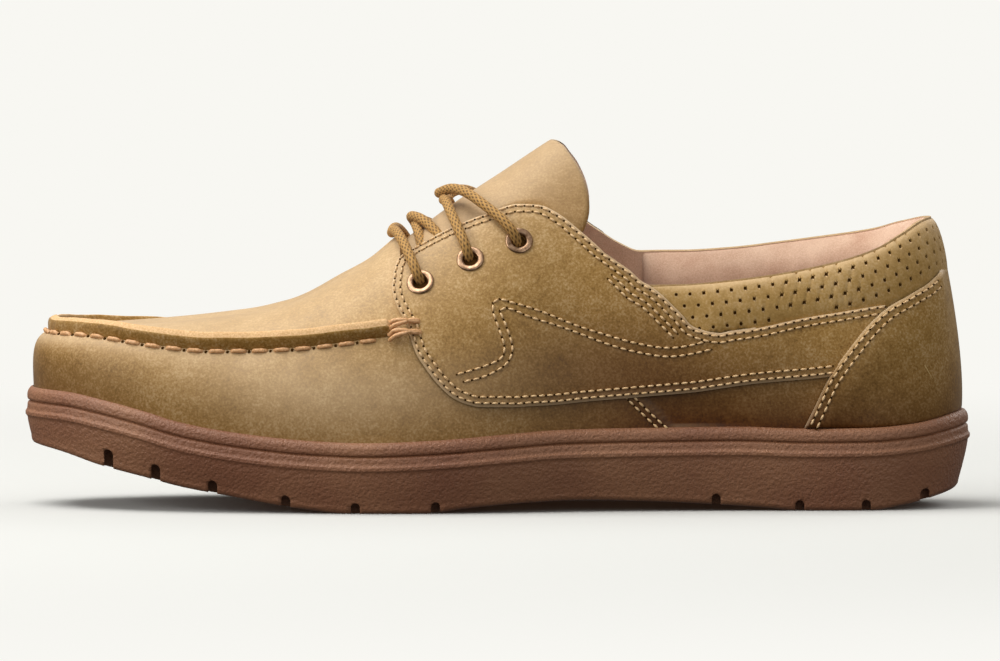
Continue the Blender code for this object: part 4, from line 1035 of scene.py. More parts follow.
def pale_wear_and_highlight(thing, loop=None):
    """Pales the hide: as painted highlight on top and along the vamp's lit shoulder, and for real wear along
    a panel's edge.
    """
    points = points_of(thing)
    facing = np.empty(len(points) * 3, np.float32)
    thing.data.vertices.foreach_get("normal", facing)
    # Painted highlight: paler the more the surface faces up, towards the overhead light.
    t = np.clip((facing.reshape(-1, 3)[:, 2] - 0.15) / 0.75, 0, 1)
    rise = points[:, 2] - rim_at(points[:, 0])
    # Painted light: paler along the vamp's shoulder, where the toe side is lit.
    shoulder = np.exp(-(((points[:, 0] + 0.055) / 0.045) ** 2)) * np.exp(-(((rise - 0.016) / 0.012) ** 2))
    wear_and_highlight = 0.42 * t * t * (3 - 2 * t) + 0.40 * shoulder
    # Real wear: paler along a panel's raw edge.
    if loop is not None:
        wear_and_highlight += 0.45 * np.exp(-((nearest(points, lifted(loop)) / 0.0019) ** 4))
    paint(thing, "wear_and_highlight", np.clip(wear_and_highlight, 0, 1))


def stitch_places(line, pitch):
    """Middles and spans of evenly spaced stitches along a flattened line."""
    marks = evenly(line, pitch)
    return marks[1::2], marks[2::2] - marks[:-1:2][: len(marks[2::2])]


def stretch(flat):
    """How the real surface runs for each metre of the flattened form, round it and up it."""
    small = 5e-4
    around, upward = np.array([small, 0.0]), np.array([0.0, small])
    round_it = last_form(*unflatten(flat + around)) - last_form(*unflatten(flat - around))
    rise = last_form(*unflatten(flat + upward)) - last_form(*unflatten(flat - upward))
    return round_it / (2 * small), rise / (2 * small)


def beside(line, distance):
    """A line moved sideways over the real surface, to its left where the distance is positive."""
    round_it, rise = stretch(line)
    ahead = np.gradient(line, axis=0)
    onward = round_it * ahead[:, :1] + rise * ahead[:, 1:]
    side = unit(np.cross(np.cross(round_it, rise), onward))
    a, b, c = (round_it**2).sum(axis=1), (round_it * rise).sum(axis=1), (rise**2).sum(axis=1)
    p, q = (round_it * side).sum(axis=1), (rise * side).sum(axis=1)
    size = a * c - b * b
    return line + np.stack([(c * p - b * q) / size, (a * q - b * p) / size], axis=1) * distance


# The hide is paled for real wear and as painted highlight.
pale_wear_and_highlight(hide)
SEAM_ROWS = []
THREAD_SINK = 0.00022
MACHINE_PITCH = 0.0027


def sew(line, base_height, offsets, sink=THREAD_SINK):
    """Notes rows of stitching beside a line, for the thread and for the groove it pulls."""
    rows = [beside(line, offset) for offset in offsets]
    SEAM_ROWS.extend((row, base_height, sink) for row in rows)
    return rows


def groove(flat, rows):
    """How far stitching pulls the leather down at points of the flattened form."""
    away = nearest(flat, np.concatenate([even(row, 0.0003) for row in rows]))
    return -THREAD_SINK * np.exp(-((away / 0.0007) ** 2))


def rings_round(spots, radii, count):
    """The spots and rings of points round them, as true circles over the real surface."""
    round_it, rise = stretch(spots)
    shrink = np.stack([1 / np.linalg.norm(round_it, axis=1), 1 / np.linalg.norm(rise, axis=1)], axis=1)
    around = np.linspace(0, 2 * math.pi, count + 1)[:-1]
    ring = np.stack([np.cos(around), np.sin(around)], axis=1)
    rows = [(spots[:, None, :] + ring * radius * shrink[:, None, :]).reshape(-1, 2) for radius in radii]
    return np.concatenate([spots] + rows)


WAVE_TOP = photo_line((493, 304), (499.5, 300), (515, 304), (541.6, 312.5), (572, 325), (610, 337.4),
                      (648.7, 347), (668, 349), (687, 347), (703, 343))
WAVE_LOW = photo_line((500, 312), (504, 309), (512, 310), (534, 319), (572, 331.7), (610, 346), (649, 355.6),
                      (668, 357.5), (687, 355.6), (710, 350.5))
WAVE_LEG = photo_line((493, 304), (493.7, 314), (499.5, 330), (504, 345), (503, 354.6), (495.7, 361),
                      (476.5, 368), (457, 373.3))
WAVE_LEG_BACK = photo_line((500, 312), (506, 326), (512, 345), (510.5, 356.5), (503, 366), (484, 375.7),
                           (464, 380.5))

QUARTER_RISE = GAP + OVERLAY
EYELET_ROWS = ((0.419, 0.905), (0.4715, 0.995), (0.5227, 1.066))
PIT_RADIUS = 0.00245
for name, side in (("quarter_outer", -1), ("quarter_inner", 1)):
    front = side_line(QUARTER_FRONT, side, out=QUARTER_RISE)
    foot_line = side_line(QUARTER_FOOT, side, out=QUARTER_RISE)
    back = side_line(QUARTER_BACK, side, out=QUARTER_RISE)
    top = side_line(QUARTER_TOP, side, out=QUARTER_RISE)
    rise = side_line(EYESTAY_BACK, side, out=QUARTER_RISE)
    eyestay = top_edge(0.612, 0.437, side)
    lower = curve_through(np.concatenate([front[:-4:6], foot_line[::8]]), LINE_STEP)
    upper_back = curve_through(np.concatenate([top[::8], rise[::6]]), LINE_STEP)
    loop = join_lines(lower, back, upper_back, eyestay)
    turned = 1 if side < 0 else -1
    rows = sew(rise[2:-1], QUARTER_RISE, (0.0053 * turned, 0.0072 * turned))
    round_edge = np.concatenate([top[::8], rise[::6], eyestay[2:-4:8], front[4:-4:6], foot_line[::8]])
    round_edge = curve_through(round_edge, LINE_STEP)
    rows += sew(round_edge, QUARTER_RISE, (0.0011 * turned, 0.0031 * turned))
    for points in (WAVE_TOP, WAVE_LOW, WAVE_LEG, WAVE_LEG_BACK):
        rows += sew(side_line(points, side, out=QUARTER_RISE), QUARTER_RISE, (0.0,))

    share, height = np.array(EYELET_ROWS).T
    eyes = flatten(*find_on_side(x_at(share), height * INSTEP_HEIGHT, side, QUARTER_RISE))
    eye_xyz = lifted(eyes)
    pit_rings = rings_round(eyes, (PIT_RADIUS + 0.0004, PIT_RADIUS + 0.0001, PIT_RADIUS - 0.0001,
                                   PIT_RADIUS * 0.5), 32)

    def quarter_height(flat, distance, base, rows=rows, eye_xyz=eye_xyz):
        height = skived(distance, QUARTER_RISE) + groove(flat, rows)
        return np.where(nearest(base, eye_xyz) < PIT_RADIUS, -WALL - 0.0001, height)

    quarter = make_panel(name + "_panel", loop, 0.00085, quarter_height, waxed_leather, -WALL + 0.0001,
                         extra=pit_rings)
    # Darkened for wax and as painted shade; paled for edge wear and as painted highlight.
    paint(quarter, "depth", wax_and_painted_shade(points_of(quarter)))
    pale_wear_and_highlight(quarter, loop)
    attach(quarter, "root")
    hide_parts(name)

# The heel counter: one outside piece that wraps the back of the heel and covers the rear ends of both
# quarters and of the collar band. The same waxed hide, with two rows of stitching up each front edge.

COUNTER_EDGE = photo_line((803, 430), (804.5, 426), (815, 404), (827, 378.6), (845, 353), (866, 327.6),
                          (886, 310), (910, 297), (925, 289), (936, 281), (942, 275))
COUNTER_RISE = GAP + 2 * OVERLAY
COUNTER_TOP = 0.0762

outer_front = side_line(COUNTER_EDGE, -1, out=COUNTER_RISE)
inner_front = side_line(COUNTER_EDGE, 1, out=COUNTER_RISE)
middle_up = float(np.interp(COUNTER_TOP, last_form(math.pi, tests)[:, 2], tests))
heel_top = flatten(math.pi, middle_up)
over_heel = curve_through([outer_front[-8], outer_front[-1], heel_top, inner_front[-1], inner_front[-8]],
                          LINE_STEP)
keep = (over_heel[:, 0] > outer_front[-1, 0] + 2e-4) & (over_heel[:, 0] < inner_front[-1, 0] - 2e-4)
over_heel = over_heel[keep]
foot_run = np.array([[inner_front[0, 0], outer_front[0, 1]], [outer_front[0, 0], outer_front[0, 1]]])
loop = join_lines(outer_front, over_heel, inner_front[::-1], even(foot_run, LINE_STEP)[1:-1])
counter_front = np.concatenate([outer_front, over_heel, inner_front[::-1]])
counter_area = np.vstack([counter_front, [[counter_front[-1, 0], -0.01]], [[counter_front[0, 0], -0.01]]])
counter_rows = sew(outer_front[2:-9], COUNTER_RISE, (-0.0012, -0.0034))
counter_rows += sew(inner_front[::-1][9:-2], COUNTER_RISE, (-0.0012, -0.0034))


def counter_height(flat, distance, base):
    """Full height over the quarter's end, and down to one thickness below and behind it."""
    front = nearest(flat, np.concatenate([outer_front[:-10], inner_front[:-10]]))
    lap = np.clip(1.25 - front / 0.010, 0, 1)
    rise = GAP + OVERLAY * (1 + lap * lap * (3 - 2 * lap))
    return rise * (0.42 + 0.58 * rolled_edge(distance, 0.0008)) + groove(flat, counter_rows)


counter = make_panel("heel_counter_panel", loop, 0.00095, counter_height, waxed_leather)
# Darkened for wax and as painted shade; paled for edge wear and as painted highlight.
paint(counter, "depth", wax_and_painted_shade(points_of(counter)))
pale_wear_and_highlight(counter, counter_front)
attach(counter, "root")
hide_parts("heel_counter")

# Two old scratches on its outer side have lifted the grain.
SCRATCHES = (
    photo_line((911.6, 346.7), (918, 356.5), (926.5, 370), (934.6, 383.7)),
    photo_line((890.5, 366), (889.8, 378), (890.2, 391)),
)
points, faces = [], []
for line in SCRATCHES:
    flat = side_line(line, -1, out=COUNTER_RISE)
    wide = np.sin(np.linspace(0, math.pi, len(flat)))[:, None] * 0.00022
    turn, up = unflatten(flat)
    spine = last_point(turn, up, GAP + OVERLAY + 0.00004)
    across = unit(np.cross(last_normal(turn, up), np.gradient(spine, axis=0)))
    down = last_normal(turn, up) * 0.0003
    first = len(points)
    for row in (spine - across * wide, spine + across * wide, spine + across * wide - down,
                spine - across * wide - down):
        points += [tuple(point) for point in row]
    count = len(flat)
    for a in range(4):
        b = (a + 1) % 4
        faces += [(first + a * count + k, first + b * count + k, first + b * count + k + 1,
                   first + a * count + k + 1) for k in range(1, count - 2)]
    faces.append(tuple(first + a * count + 1 for a in (3, 2, 1, 0)))
    faces.append(tuple(first + a * count + count - 2 for a in (0, 1, 2, 3)))
scuffed_grain, tree, shader = new_material("scuffed_grain")
shader.inputs["Base Color"].default_value = hex_colour("#B99A66")
shader.inputs["Roughness"].default_value = 0.9
scuffs = make_piece("counter_scratches", points, faces, scuffed_grain, 30)
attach(scuffs, "root")

# The collar band: a softer strip of the hide round the ankle, punched with rows of small air holes and
# lined with foam, so that it swells between its seam and the top line. Its lower edge lies under the
# quarters and the counter.

HOLE_PITCH = 0.0044
HOLE_ROWS = 5
HOLE_ROW_GAP = 0.0037
HOLE_FIRST = 0.0034
HOLE_RADIUS = 0.00056
HOLE_DEPTH = 0.0011
BAND_SWELL = 0.0016
BAND_BASE = 0.0004

BAND_SEAM = photo_line((686, 333), (700, 337), (710, 336.5), (725, 335.5), (759, 331), (810, 321),
                       (861, 313), (883, 310), (905, 303), (925, 293), (938, 283))
band_outer = side_line(BAND_SEAM, -1)
band_inner = side_line(BAND_SEAM, 1)
middle_seam = flatten(math.pi, middle_up - 0.003 / TALL)
band_low = curve_through(np.concatenate([band_outer[::8], [middle_seam], band_inner[::-8]]), 0.0008)
collar_turns = turns[OPEN]
collar_flat = flatten(collar_turns, UP_TOP[OPEN])
collar_share = along(last_form(collar_turns, UP_TOP[OPEN])[:, 0])
collar_line = even(collar_flat[collar_share > 0.622], 0.0008)
band_front_outer = even(np.array([collar_line[0], band_low[0]]), 0.0008)
band_front_inner = even(np.array([band_low[-1], collar_line[-1]]), 0.0008)
loop = join_lines(band_low, band_front_inner[1:-1], collar_line[::-1], band_front_outer[1:-1])

# The holes follow the collar's edge in staggered rows; each is a ring of points pushed through.
round_it, rise = stretch(collar_line)
tall = np.linalg.norm(rise, axis=1)
holes = []
for row in range(HOLE_ROWS):
    down = HOLE_FIRST + row * HOLE_ROW_GAP
    line = collar_line - np.stack([np.zeros(len(tall)), down / tall], axis=1)
    marks = evenly(line, HOLE_PITCH, 1)
    holes.append((marks[1:] + marks[:-1]) / 2 if row % 2 else marks)
holes = np.concatenate(holes)
holes = holes[inside(holes, loop)]
hole_xyz = lifted(holes)
quarter_lap = np.concatenate([side_line(QUARTER_TOP, s) for s in (-1, 1)]
                             + [side_line(EYESTAY_BACK, s) for s in (-1, 1)] + [counter_front])
clear = nearest(hole_xyz, lifted(np.concatenate([quarter_lap, band_low])))
clear = np.minimum(clear, nearest(hole_xyz, lifted(np.concatenate([band_front_outer, band_front_inner]))))
kept = (clear > 0.0010) & (nearest(hole_xyz, lifted(collar_line)) > 0.0022) & ~inside(holes, counter_area)
holes, hole_xyz = holes[kept], hole_xyz[kept]
hole_points = rings_round(holes, (HOLE_RADIUS * 2.0, HOLE_RADIUS, HOLE_RADIUS * 0.84), 10)

soft_leather = leather_material("soft_collar_leather", "#8A672C", "#AF8B50", "#D3B588", 0.8, 0.60, 0.35)


def band_height(flat, distance, base):
    edge_low = nearest(flat, band_low)
    edge_top = nearest(flat, collar_line)
    t = np.clip(edge_low / (edge_low + edge_top + 1e-9), 0, 1)
    front = nearest(flat, np.concatenate([band_front_outer, band_front_inner]))
    swell = BAND_SWELL * np.clip(4 * t * (1 - t), 0, 1) ** 0.7 * np.clip(front / 0.009, 0, 1)
    rolled = np.clip(edge_top / 0.0022, 0, 1)
    height = BAND_BASE + swell - 0.0010 * (1 - np.sqrt(1 - (1 - rolled) ** 2))
    to_hole = nearest(base, hole_xyz)
    height = height - 0.00008 * np.exp(-((to_hole / 0.0010) ** 2))
    return np.where(to_hole < HOLE_RADIUS * 0.93, height - HOLE_DEPTH, height)


band = make_panel("collar_band_panel", loop, 0.0011, band_height, soft_leather, -0.0012, extra=hole_points,
                  rings=(0.0004, 0.0010))
# A little of the wax and painted shade darkening; paled for wear and as painted highlight.
paint(band, "depth", wax_and_painted_shade(points_of(band)) * 0.15)
pale_wear_and_highlight(band)
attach(band, "root")

# The machine stitching: bonded polyester thread, light tan, 9 stitches to the inch in double rows. Each
# stitch dives into the hide at both ends, where the needle has left a small hole, shown as a dark disc of
# painted shade.

bonded_thread, tree, shader = new_material("bonded_polyester_thread")
where = add(tree, "ShaderNodeTexCoord").outputs["Object"]
ply = noise(tree, where, 0.0004, 2.0)
tone = two_tones(tree, ply.outputs["Fac"], 0.3, "#C39A64", 0.7, "#EFCFA2")
tree.links.new(tone.outputs["Color"], shader.inputs["Base Color"])
shader.inputs["Roughness"].default_value = 0.6

# Painted shade inside holes: a flat dark brown for the discs and marks set into needle, awl, air and eyelet
# holes.
shade_paint_for_holes, tree, shader = new_material("painted_shade_in_holes")
shader.inputs["Base Color"].default_value = hex_colour("#4A3217")
shader.inputs["Roughness"].default_value = 1.0
shader.inputs["Specular IOR Level"].default_value = 0.0

THREAD_RADIUS = 0.00036
THREAD_PROUD = 0.00036
THREAD_RINGS, THREAD_SIDES = 8, 6
STITCH_SHARE = 0.80
NEEDLE_HOLE = 0.00033


def thread_rows(name, rows, material, hidden):
    """One mesh of short threads that dive into the leather at both ends, and where their holes are."""
    centres, spans, heights, sinks = [], [], [], []
    for line, base_height, sink in rows:
        middles, directions = stitch_places(line, MACHINE_PITCH)
        count = min(len(middles), len(directions))
        centres.append(middles[:count])
        spans.append(directions[:count])
        heights.append(np.full(count, base_height))
        sinks.append(np.full(count, sink))
    centres, spans = np.concatenate(centres), np.concatenate(spans)
    heights, sinks = np.concatenate(heights), np.concatenate(sinks)
    shown = ~hidden(centres, heights)
    centres, spans, heights, sinks = centres[shown], spans[shown], heights[shown], sinks[shown]
    t = np.linspace(-0.5, 0.5, THREAD_RINGS)
    flat = centres[:, None, :] + spans[:, None, :] * STITCH_SHARE * t[None, :, None]
    dive = 2.4 * THREAD_RADIUS * np.abs(2 * t[None, :]) ** 4
    lift = heights[:, None] - sinks[:, None] + THREAD_PROUD - dive
    turn, up = unflatten(flat)
    spine = last_point(turn, up, lift)
    normal = last_normal(turn, up)
    ahead = unit(np.gradient(spine, axis=1))
    across = np.cross(normal, ahead)
    points = hoops(spine, across, np.cross(ahead, across), THREAD_RADIUS, THREAD_SIDES)
    faces = []
    for k in range(len(centres)):
        faces += tube_faces(THREAD_RINGS, THREAD_SIDES, k * THREAD_RINGS * THREAD_SIDES)
    thing = make_piece(name, points.reshape(-1, 3), faces, material, 60)
    ends = np.concatenate([centres - spans * 0.5, centres + spans * 0.5])
    return thing, ends, np.concatenate([heights - sinks, heights - sinks])


def shade_discs_in_holes(name, flat, heights, radius):
    """Small dark discs of painted shade set into holes in the leather, joined into one mesh."""
    turn, up = unflatten(flat)
    normal = last_normal(turn, up)
    ahead = unit(last_form(turn + 1e-3, up) - last_form(turn, up))
    ring = hoops(last_point(turn, up, heights + 0.00020), ahead, np.cross(normal, ahead), radius, 8)
    below = ring - normal[:, None, :] * 0.0006
    points, faces = [], []
    for k in range(len(flat)):
        faces += tube_faces(2, 8, len(points))
        points += list(ring[k]) + list(below[k])
    return make_piece(name, points, faces, shade_paint_for_holes, 30)


def under_counter(flat, heights):
    return inside(flat, counter_area) & (heights < COUNTER_RISE - 0.0005)


# The vamp's rear seam shows between the quarter and the sole, with its own double row.
VAMP_SEAM = photo_line((628, 388), (637, 397), (652.5, 412), (670, 430))
for side in (-1, 1):
    sew(side_line(VAMP_SEAM, side), 0.0003, (0.0011 * side, 0.0030 * side), 0.0002)

stitching, ends, end_heights = thread_rows("machine_stitching", SEAM_ROWS, bonded_thread, under_counter)
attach(stitching, "root")
keep = ~under_counter(ends, end_heights)
needle_hole_shade_discs = shade_discs_in_holes("needle_hole_shading", ends[keep], end_heights[keep], NEEDLE_HOLE)
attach(needle_hole_shade_discs, "root")

# The air holes of the collar band get dark discs a short way down, as painted shade inside them.
hole_heights = band_height(holes, 0.0, hole_xyz) + 0.0004
air_hole_shade_discs = shade_discs_in_holes("air_hole_shading", holes, hole_heights, HOLE_RADIUS * 0.90)
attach(air_hole_shade_discs, "root")

# The eyelets: pressed rings of antiqued brass, rolled over both layers of the eyestay. Three a side.

antique_brass, tree, shader = new_material("antiqued_brass")
where = add(tree, "ShaderNodeTexCoord").outputs["Object"]
patina = noise(tree, where, 0.0016, 5.0)
tone = two_tones(tree, patina.outputs["Fac"], 0.32, "#755840", 0.70, "#BE9C80")
tree.links.new(tone.outputs["Color"], shader.inputs["Base Color"])
shader.inputs["Metallic"].default_value = 1.0
shader.inputs["Roughness"].default_value = 0.36

EYELET_FLANGE = 0.0087
EYELET_BARREL = 0.0058
EYELET_HOLE = 0.0045
EYELET_PROUD = 0.0009

EYELET_PROFILE = (
    (EYELET_HOLE / 2 + 0.0002, -(WALL + OVERLAY + GAP)), (EYELET_BARREL / 2, -(WALL + OVERLAY + GAP)),
    (EYELET_BARREL / 2, 0.0), (EYELET_FLANGE / 2 - 0.0002, -0.0002), (EYELET_FLANGE / 2, 0.00010),
    (EYELET_FLANGE / 2 - 0.00012, 0.00036), (EYELET_FLANGE / 2 - 0.0004, 0.00052),
    (EYELET_FLANGE / 2 - 0.0009, 0.00050), (EYELET_FLANGE / 2 - 0.0014, 0.00046),
    (EYELET_HOLE / 2 + 0.00045, 0.00040), (EYELET_HOLE / 2 + 0.00012, 0.00018), (EYELET_HOLE / 2, -0.0004),
)
eyelet_spots = {}
eyelet_shade_points, eyelet_shade_faces = [], []
for name, side in (("outer", -1), ("inner", 1)):
    for row, (share, height) in enumerate(EYELET_ROWS):
        turn, up = find_on_side(float(x_at(share)), height * INSTEP_HEIGHT, side, QUARTER_RISE)
        turn, up = float(turn[0]), float(up[0])
        eyelet_spots[name, row] = (turn, up)
        spot, normal = last_point(turn, up, QUARTER_RISE), last_normal(turn, up)
        quat = Vector(normal).to_track_quat("Z", "Y")
        points = []
        for radius, level in EYELET_PROFILE:
            for k in range(48):
                a = 2 * math.pi * k / 48
                at = Vector((radius * math.cos(a), radius * math.sin(a), level))
                points.append(tuple(Vector(spot) + quat @ at))
        faces = grid_faces(len(EYELET_PROFILE), 48, True)
        last = (len(EYELET_PROFILE) - 1) * 48
        faces += [(last + k, last + (k + 1) % 48, (k + 1) % 48, k) for k in range(48)]
        eyelet = make_piece(f"eyelet_{name}_{row + 1}_pressed", points, faces, antique_brass, 50)
        # Painted shade: a flat dark disc down in each eyelet's pit stands for the shade inside the hole.
        shade = Vector(spot) + quat @ Vector((0.0, 0.0, -0.0014))
        bottom = [shade + quat @ Vector((math.cos(k * math.pi / 12), math.sin(k * math.pi / 12), 0))
                  * PIT_RADIUS for k in range(24)]
        lower = [point - quat @ Vector((0.0, 0.0, 0.0003)) for point in bottom]
        eyelet_shade_faces += tube_faces(2, 24, len(eyelet_shade_points))
        eyelet_shade_points += [tuple(point) for point in bottom + lower]
        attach(eyelet, "root")
        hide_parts(f"eyelet_{name}_{row + 1}")

eyelet_shade_discs = make_piece("eyelet_hole_shading", eyelet_shade_points, eyelet_shade_faces, shade_paint_for_holes, 30)
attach(eyelet_shade_discs, "root")

# The tongue: a single long piece of the hide, suede side down, sewn to the plug under the lowest lace
# and bent over the instep. Its end is cut round and left raw.

LACE_RADIUS = 0.0031 / 2
LACE_REST = 0.0003
TONGUE_TOP = -(WALL + 2 * GAP)
TONGUE_THICK = 0.0026
TONGUE_ROUND = 0.0013
TONGUE_EDGE = ((0.5720, 1.425), (0.5840, 1.362), (0.5925, 1.292), (0.5965, 1.225), (0.5955, 1.155),
               (0.586, 1.080), (0.560, 0.990), (0.520, 0.930), (0.470, 0.880), (0.430, 0.850),
               (0.400, 0.840))
TONGUE_TIP, TONGUE_FRONT = 0.5535, 0.376


def crest_turn(share):
    """The turn of the outer side's section that meets the crest line at this share of length."""
    return math.acos(1 - 2 * (share - SPINE_TOE) / (SPINE_HEEL - SPINE_TOE))


def over_crest(flat):
    """Points and normals over the crest, from metres along it and metres down its outer (+) side."""
    turn, down = unflatten(flat)
    up = 1 - np.abs(down)
    base = last_form(np.where(down >= 0, turn, 2 * math.pi - turn), up)
    t = np.clip(0.5 + down / 0.24, 0, 1)
    share = (t * t * (3 - 2 * t))[..., None]
    level = np.minimum(up, 0.94)
    normal = last_normal(turn, level) * share + last_normal(2 * math.pi - turn, level) * (1 - share)
    return base, unit(normal)


def tongue_side(side):
    points = np.array(TONGUE_EDGE)
    turn, up = find_on_side(x_at(points[:, 0]), points[:, 1] * INSTEP_HEIGHT, side, TONGUE_TOP)
    turn = turn if side < 0 else 2 * math.pi - turn
    return np.stack([girth_at(turn), -side * (1 - up) * TALL], axis=1)


tip = [girth_at(crest_turn(TONGUE_TIP)), 0.0]
front = [girth_at(crest_turn(TONGUE_FRONT)), 0.0]
loop = curve_through(np.concatenate([[tip], tongue_side(-1), [front], tongue_side(1)[::-1]]), 0.0007,
                     True)[:-1]
open_edge = np.where(OPEN, 1 - UP_TOP, 0.0)


def tongue_height(flat, distance, base):
    """The tongue's face, pressed down where the eyestays lie over it."""
    turn = np.interp(flat[:, 0], GIRTH, GIRTH_TURNS)
    side_turn = np.where(flat[:, 1] >= 0, turn, 2 * math.pi - turn)
    covered = np.abs(flat[:, 1]) - np.interp(side_turn, turns, open_edge) * TALL
    t = np.clip(covered / 0.006 + 0.5, 0, 1)
    free = np.clip((along(base[:, 0]) - 0.53) / 0.03, 0, 1)
    pressed = 0.0034 * t * t * (3 - 2 * t) * (1 - free)
    return TONGUE_TOP - pressed - TONGUE_THICK * 0.55 * (1 - rolled_edge(distance, TONGUE_ROUND))


tongue_dark = leather_material("waxed_leather_tongue", "#7E5C2A", "#9A7745", "#BC9E72")
flat, triangles, edge_line = fill(loop, 0.0011)
distance = nearest(flat, edge_line)
base, normal = over_crest(flat)
face_height = tongue_height(flat, distance, base)
low_height = tongue_height(flat, np.full(len(flat), 1.0), base) - TONGUE_THICK
low_height = low_height + TONGUE_THICK * 0.45 * (1 - rolled_edge(distance, TONGUE_ROUND))
tongue = close_sheet("tongue_leather", base + normal * face_height[:, None],
                     base + normal * low_height[:, None], distance < ON_EDGE_WITHIN, triangles, tongue_dark)
tongue.data.materials.append(suede)
for polygon in list(tongue.data.polygons)[len(triangles) :]:
    polygon.material_index = 1
# Some of the wax and painted shade darkening; paled for wear and as painted highlight.
paint(tongue, "depth", wax_and_painted_shade(points_of(tongue)) * 0.3)
pale_wear_and_highlight(tongue)
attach(tongue, "root")
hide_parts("tongue")

# The lace: one length of round braided cotton cord. It lies as a bar outside the lowest eyelets, crosses
# on the tongue under the eyestays, comes up through the middle eyelets, crosses over the eyestays and
# goes down through the top eyelets, where both ends stop out of sight.

waxed_cotton, tree, shader = new_material("waxed_cotton_braid")
where = add(tree, "ShaderNodeTexCoord").outputs["Object"]
fleck = noise(tree, where, 0.0009, 3.0)
# Painted shade: the attribute darkens the valleys between the braid's carriers, over a fine fleck.
shade = add(tree, "ShaderNodeAttribute", attribute_name="depth")
dim = add(tree, "ShaderNodeMath", {0: fleck.outputs["Fac"], 1: 0.55, 2: -0.14}, operation="MULTIPLY_ADD")
depth = add(tree, "ShaderNodeMath", {0: shade.outputs["Fac"], 1: dim.outputs[0]}, operation="ADD")
tone = two_tones(tree, depth.outputs[0], 0.10, "#C0924F", 0.85, "#54390F")
tree.links.new(tone.outputs["Color"], shader.inputs["Base Color"])
shader.inputs["Roughness"].default_value = 0.75
shader.inputs["Sheen Weight"].default_value = 0.05

LACE_STEP = 0.00024
LACE_SIDES = 40
CARRIERS = 8
INSIDE = -(WALL + LACE_RADIUS + 0.0003)
OUTSIDE = QUARTER_RISE + EYELET_PROUD + LACE_RADIUS + LACE_REST
ON_EDGE = QUARTER_RISE + LACE_RADIUS + LACE_REST
ON_TONGUE = LACE_RADIUS - WALL


def edge_stop(share, height, side, lift):
    turn, up = find_on_side(float(x_at(share)), height * INSTEP_HEIGHT, side)
    return float(turn[0]), float(up[0]), lift


def crest_stop(share, side, lift):
    turn = crest_turn(share)
    return (turn if side < 0 else 2 * math.pi - turn), 1.0, lift


def hole_stops(name, row, before, after, going_in):
    """Stops that take the lace through an eyelet, leaning towards where it comes from and goes."""
    turn, up = eyelet_spots[name, row]
    centre = flatten(turn, up)

    def lean(other, distance, lift):
        away = flatten(other[0], other[1]) - centre
        spot = centre + away / np.linalg.norm(away) * distance
        turn, up = unflatten(spot)
        return float(turn), float(up), lift

    outside, inner = (before, after) if going_in else (after, before)
    stops = [lean(outside, 0.0030, OUTSIDE + 0.0001), lean(outside, 0.0009, OUTSIDE - 0.0009),
             (turn, up, -0.0010)]
    if inner is None:
        stops.append((turn, up - 0.02, INSIDE - 0.0012))
    else:
        stops += [lean(inner, 0.0018, INSIDE + 0.0004), lean(inner, 0.0045, INSIDE)]
    return stops if going_in else stops[::-1]


def lace_half(side):
    """Stops from the bar's middle down one side to the top eyelet that its end stops under."""
    near, far = ("outer", "inner") if side < 0 else ("inner", "outer")
    order = 0.0 if side < 0 else 1.0
    bar = crest_stop(0.392, side, LACE_RADIUS + LACE_REST)
    low_in = edge_stop(0.4150, 1.060, side, INSIDE)
    low_mid = crest_stop(0.4125, side, ON_TONGUE + 2 * LACE_REST + order * 0.93 * 2 * LACE_RADIUS)
    low_out = edge_stop(0.4350, 1.105, -side, INSIDE)
    high_in = edge_stop(0.4560, 1.130, -side, ON_EDGE)
    high_mid = crest_stop(0.4420, -side, ON_TONGUE + LACE_REST + (1 - order) * 0.93 * 2 * LACE_RADIUS)
    high_out = edge_stop(0.4870, 1.180, side, ON_EDGE)
    stops = [bar] + hole_stops(near, 0, bar, low_in, True) + [low_in, low_mid]
    turned = (2 * math.pi - low_mid[0], 1.0, low_mid[2])
    stops += [turned, low_out] + hole_stops(far, 1, low_out, high_in, False)
    stops += [high_in, high_mid, (2 * math.pi - high_mid[0], 1.0, high_mid[2]), high_out]
    stops += hole_stops(near, 2, high_out, None, True)
    return stops


def stops_to_points(stops):
    points = []
    for here, there in zip(stops[:-1], stops[1:]):
        if abs(here[0] - there[0]) > 1.0:
            continue
        run = np.linalg.norm(flatten(there[0], there[1]) - flatten(here[0], here[1]))
        steps = max(1, int(run / 0.0035))
        for t in np.linspace(0, 1, steps, endpoint=False):
            turn, up, lift = (a + (b - a) * t for a, b in zip(here, there))
            points.append(last_point(turn, up, lift))
    turn, up, lift = stops[-1]
    points.append(last_point(turn, up, lift))
    return np.array(points)


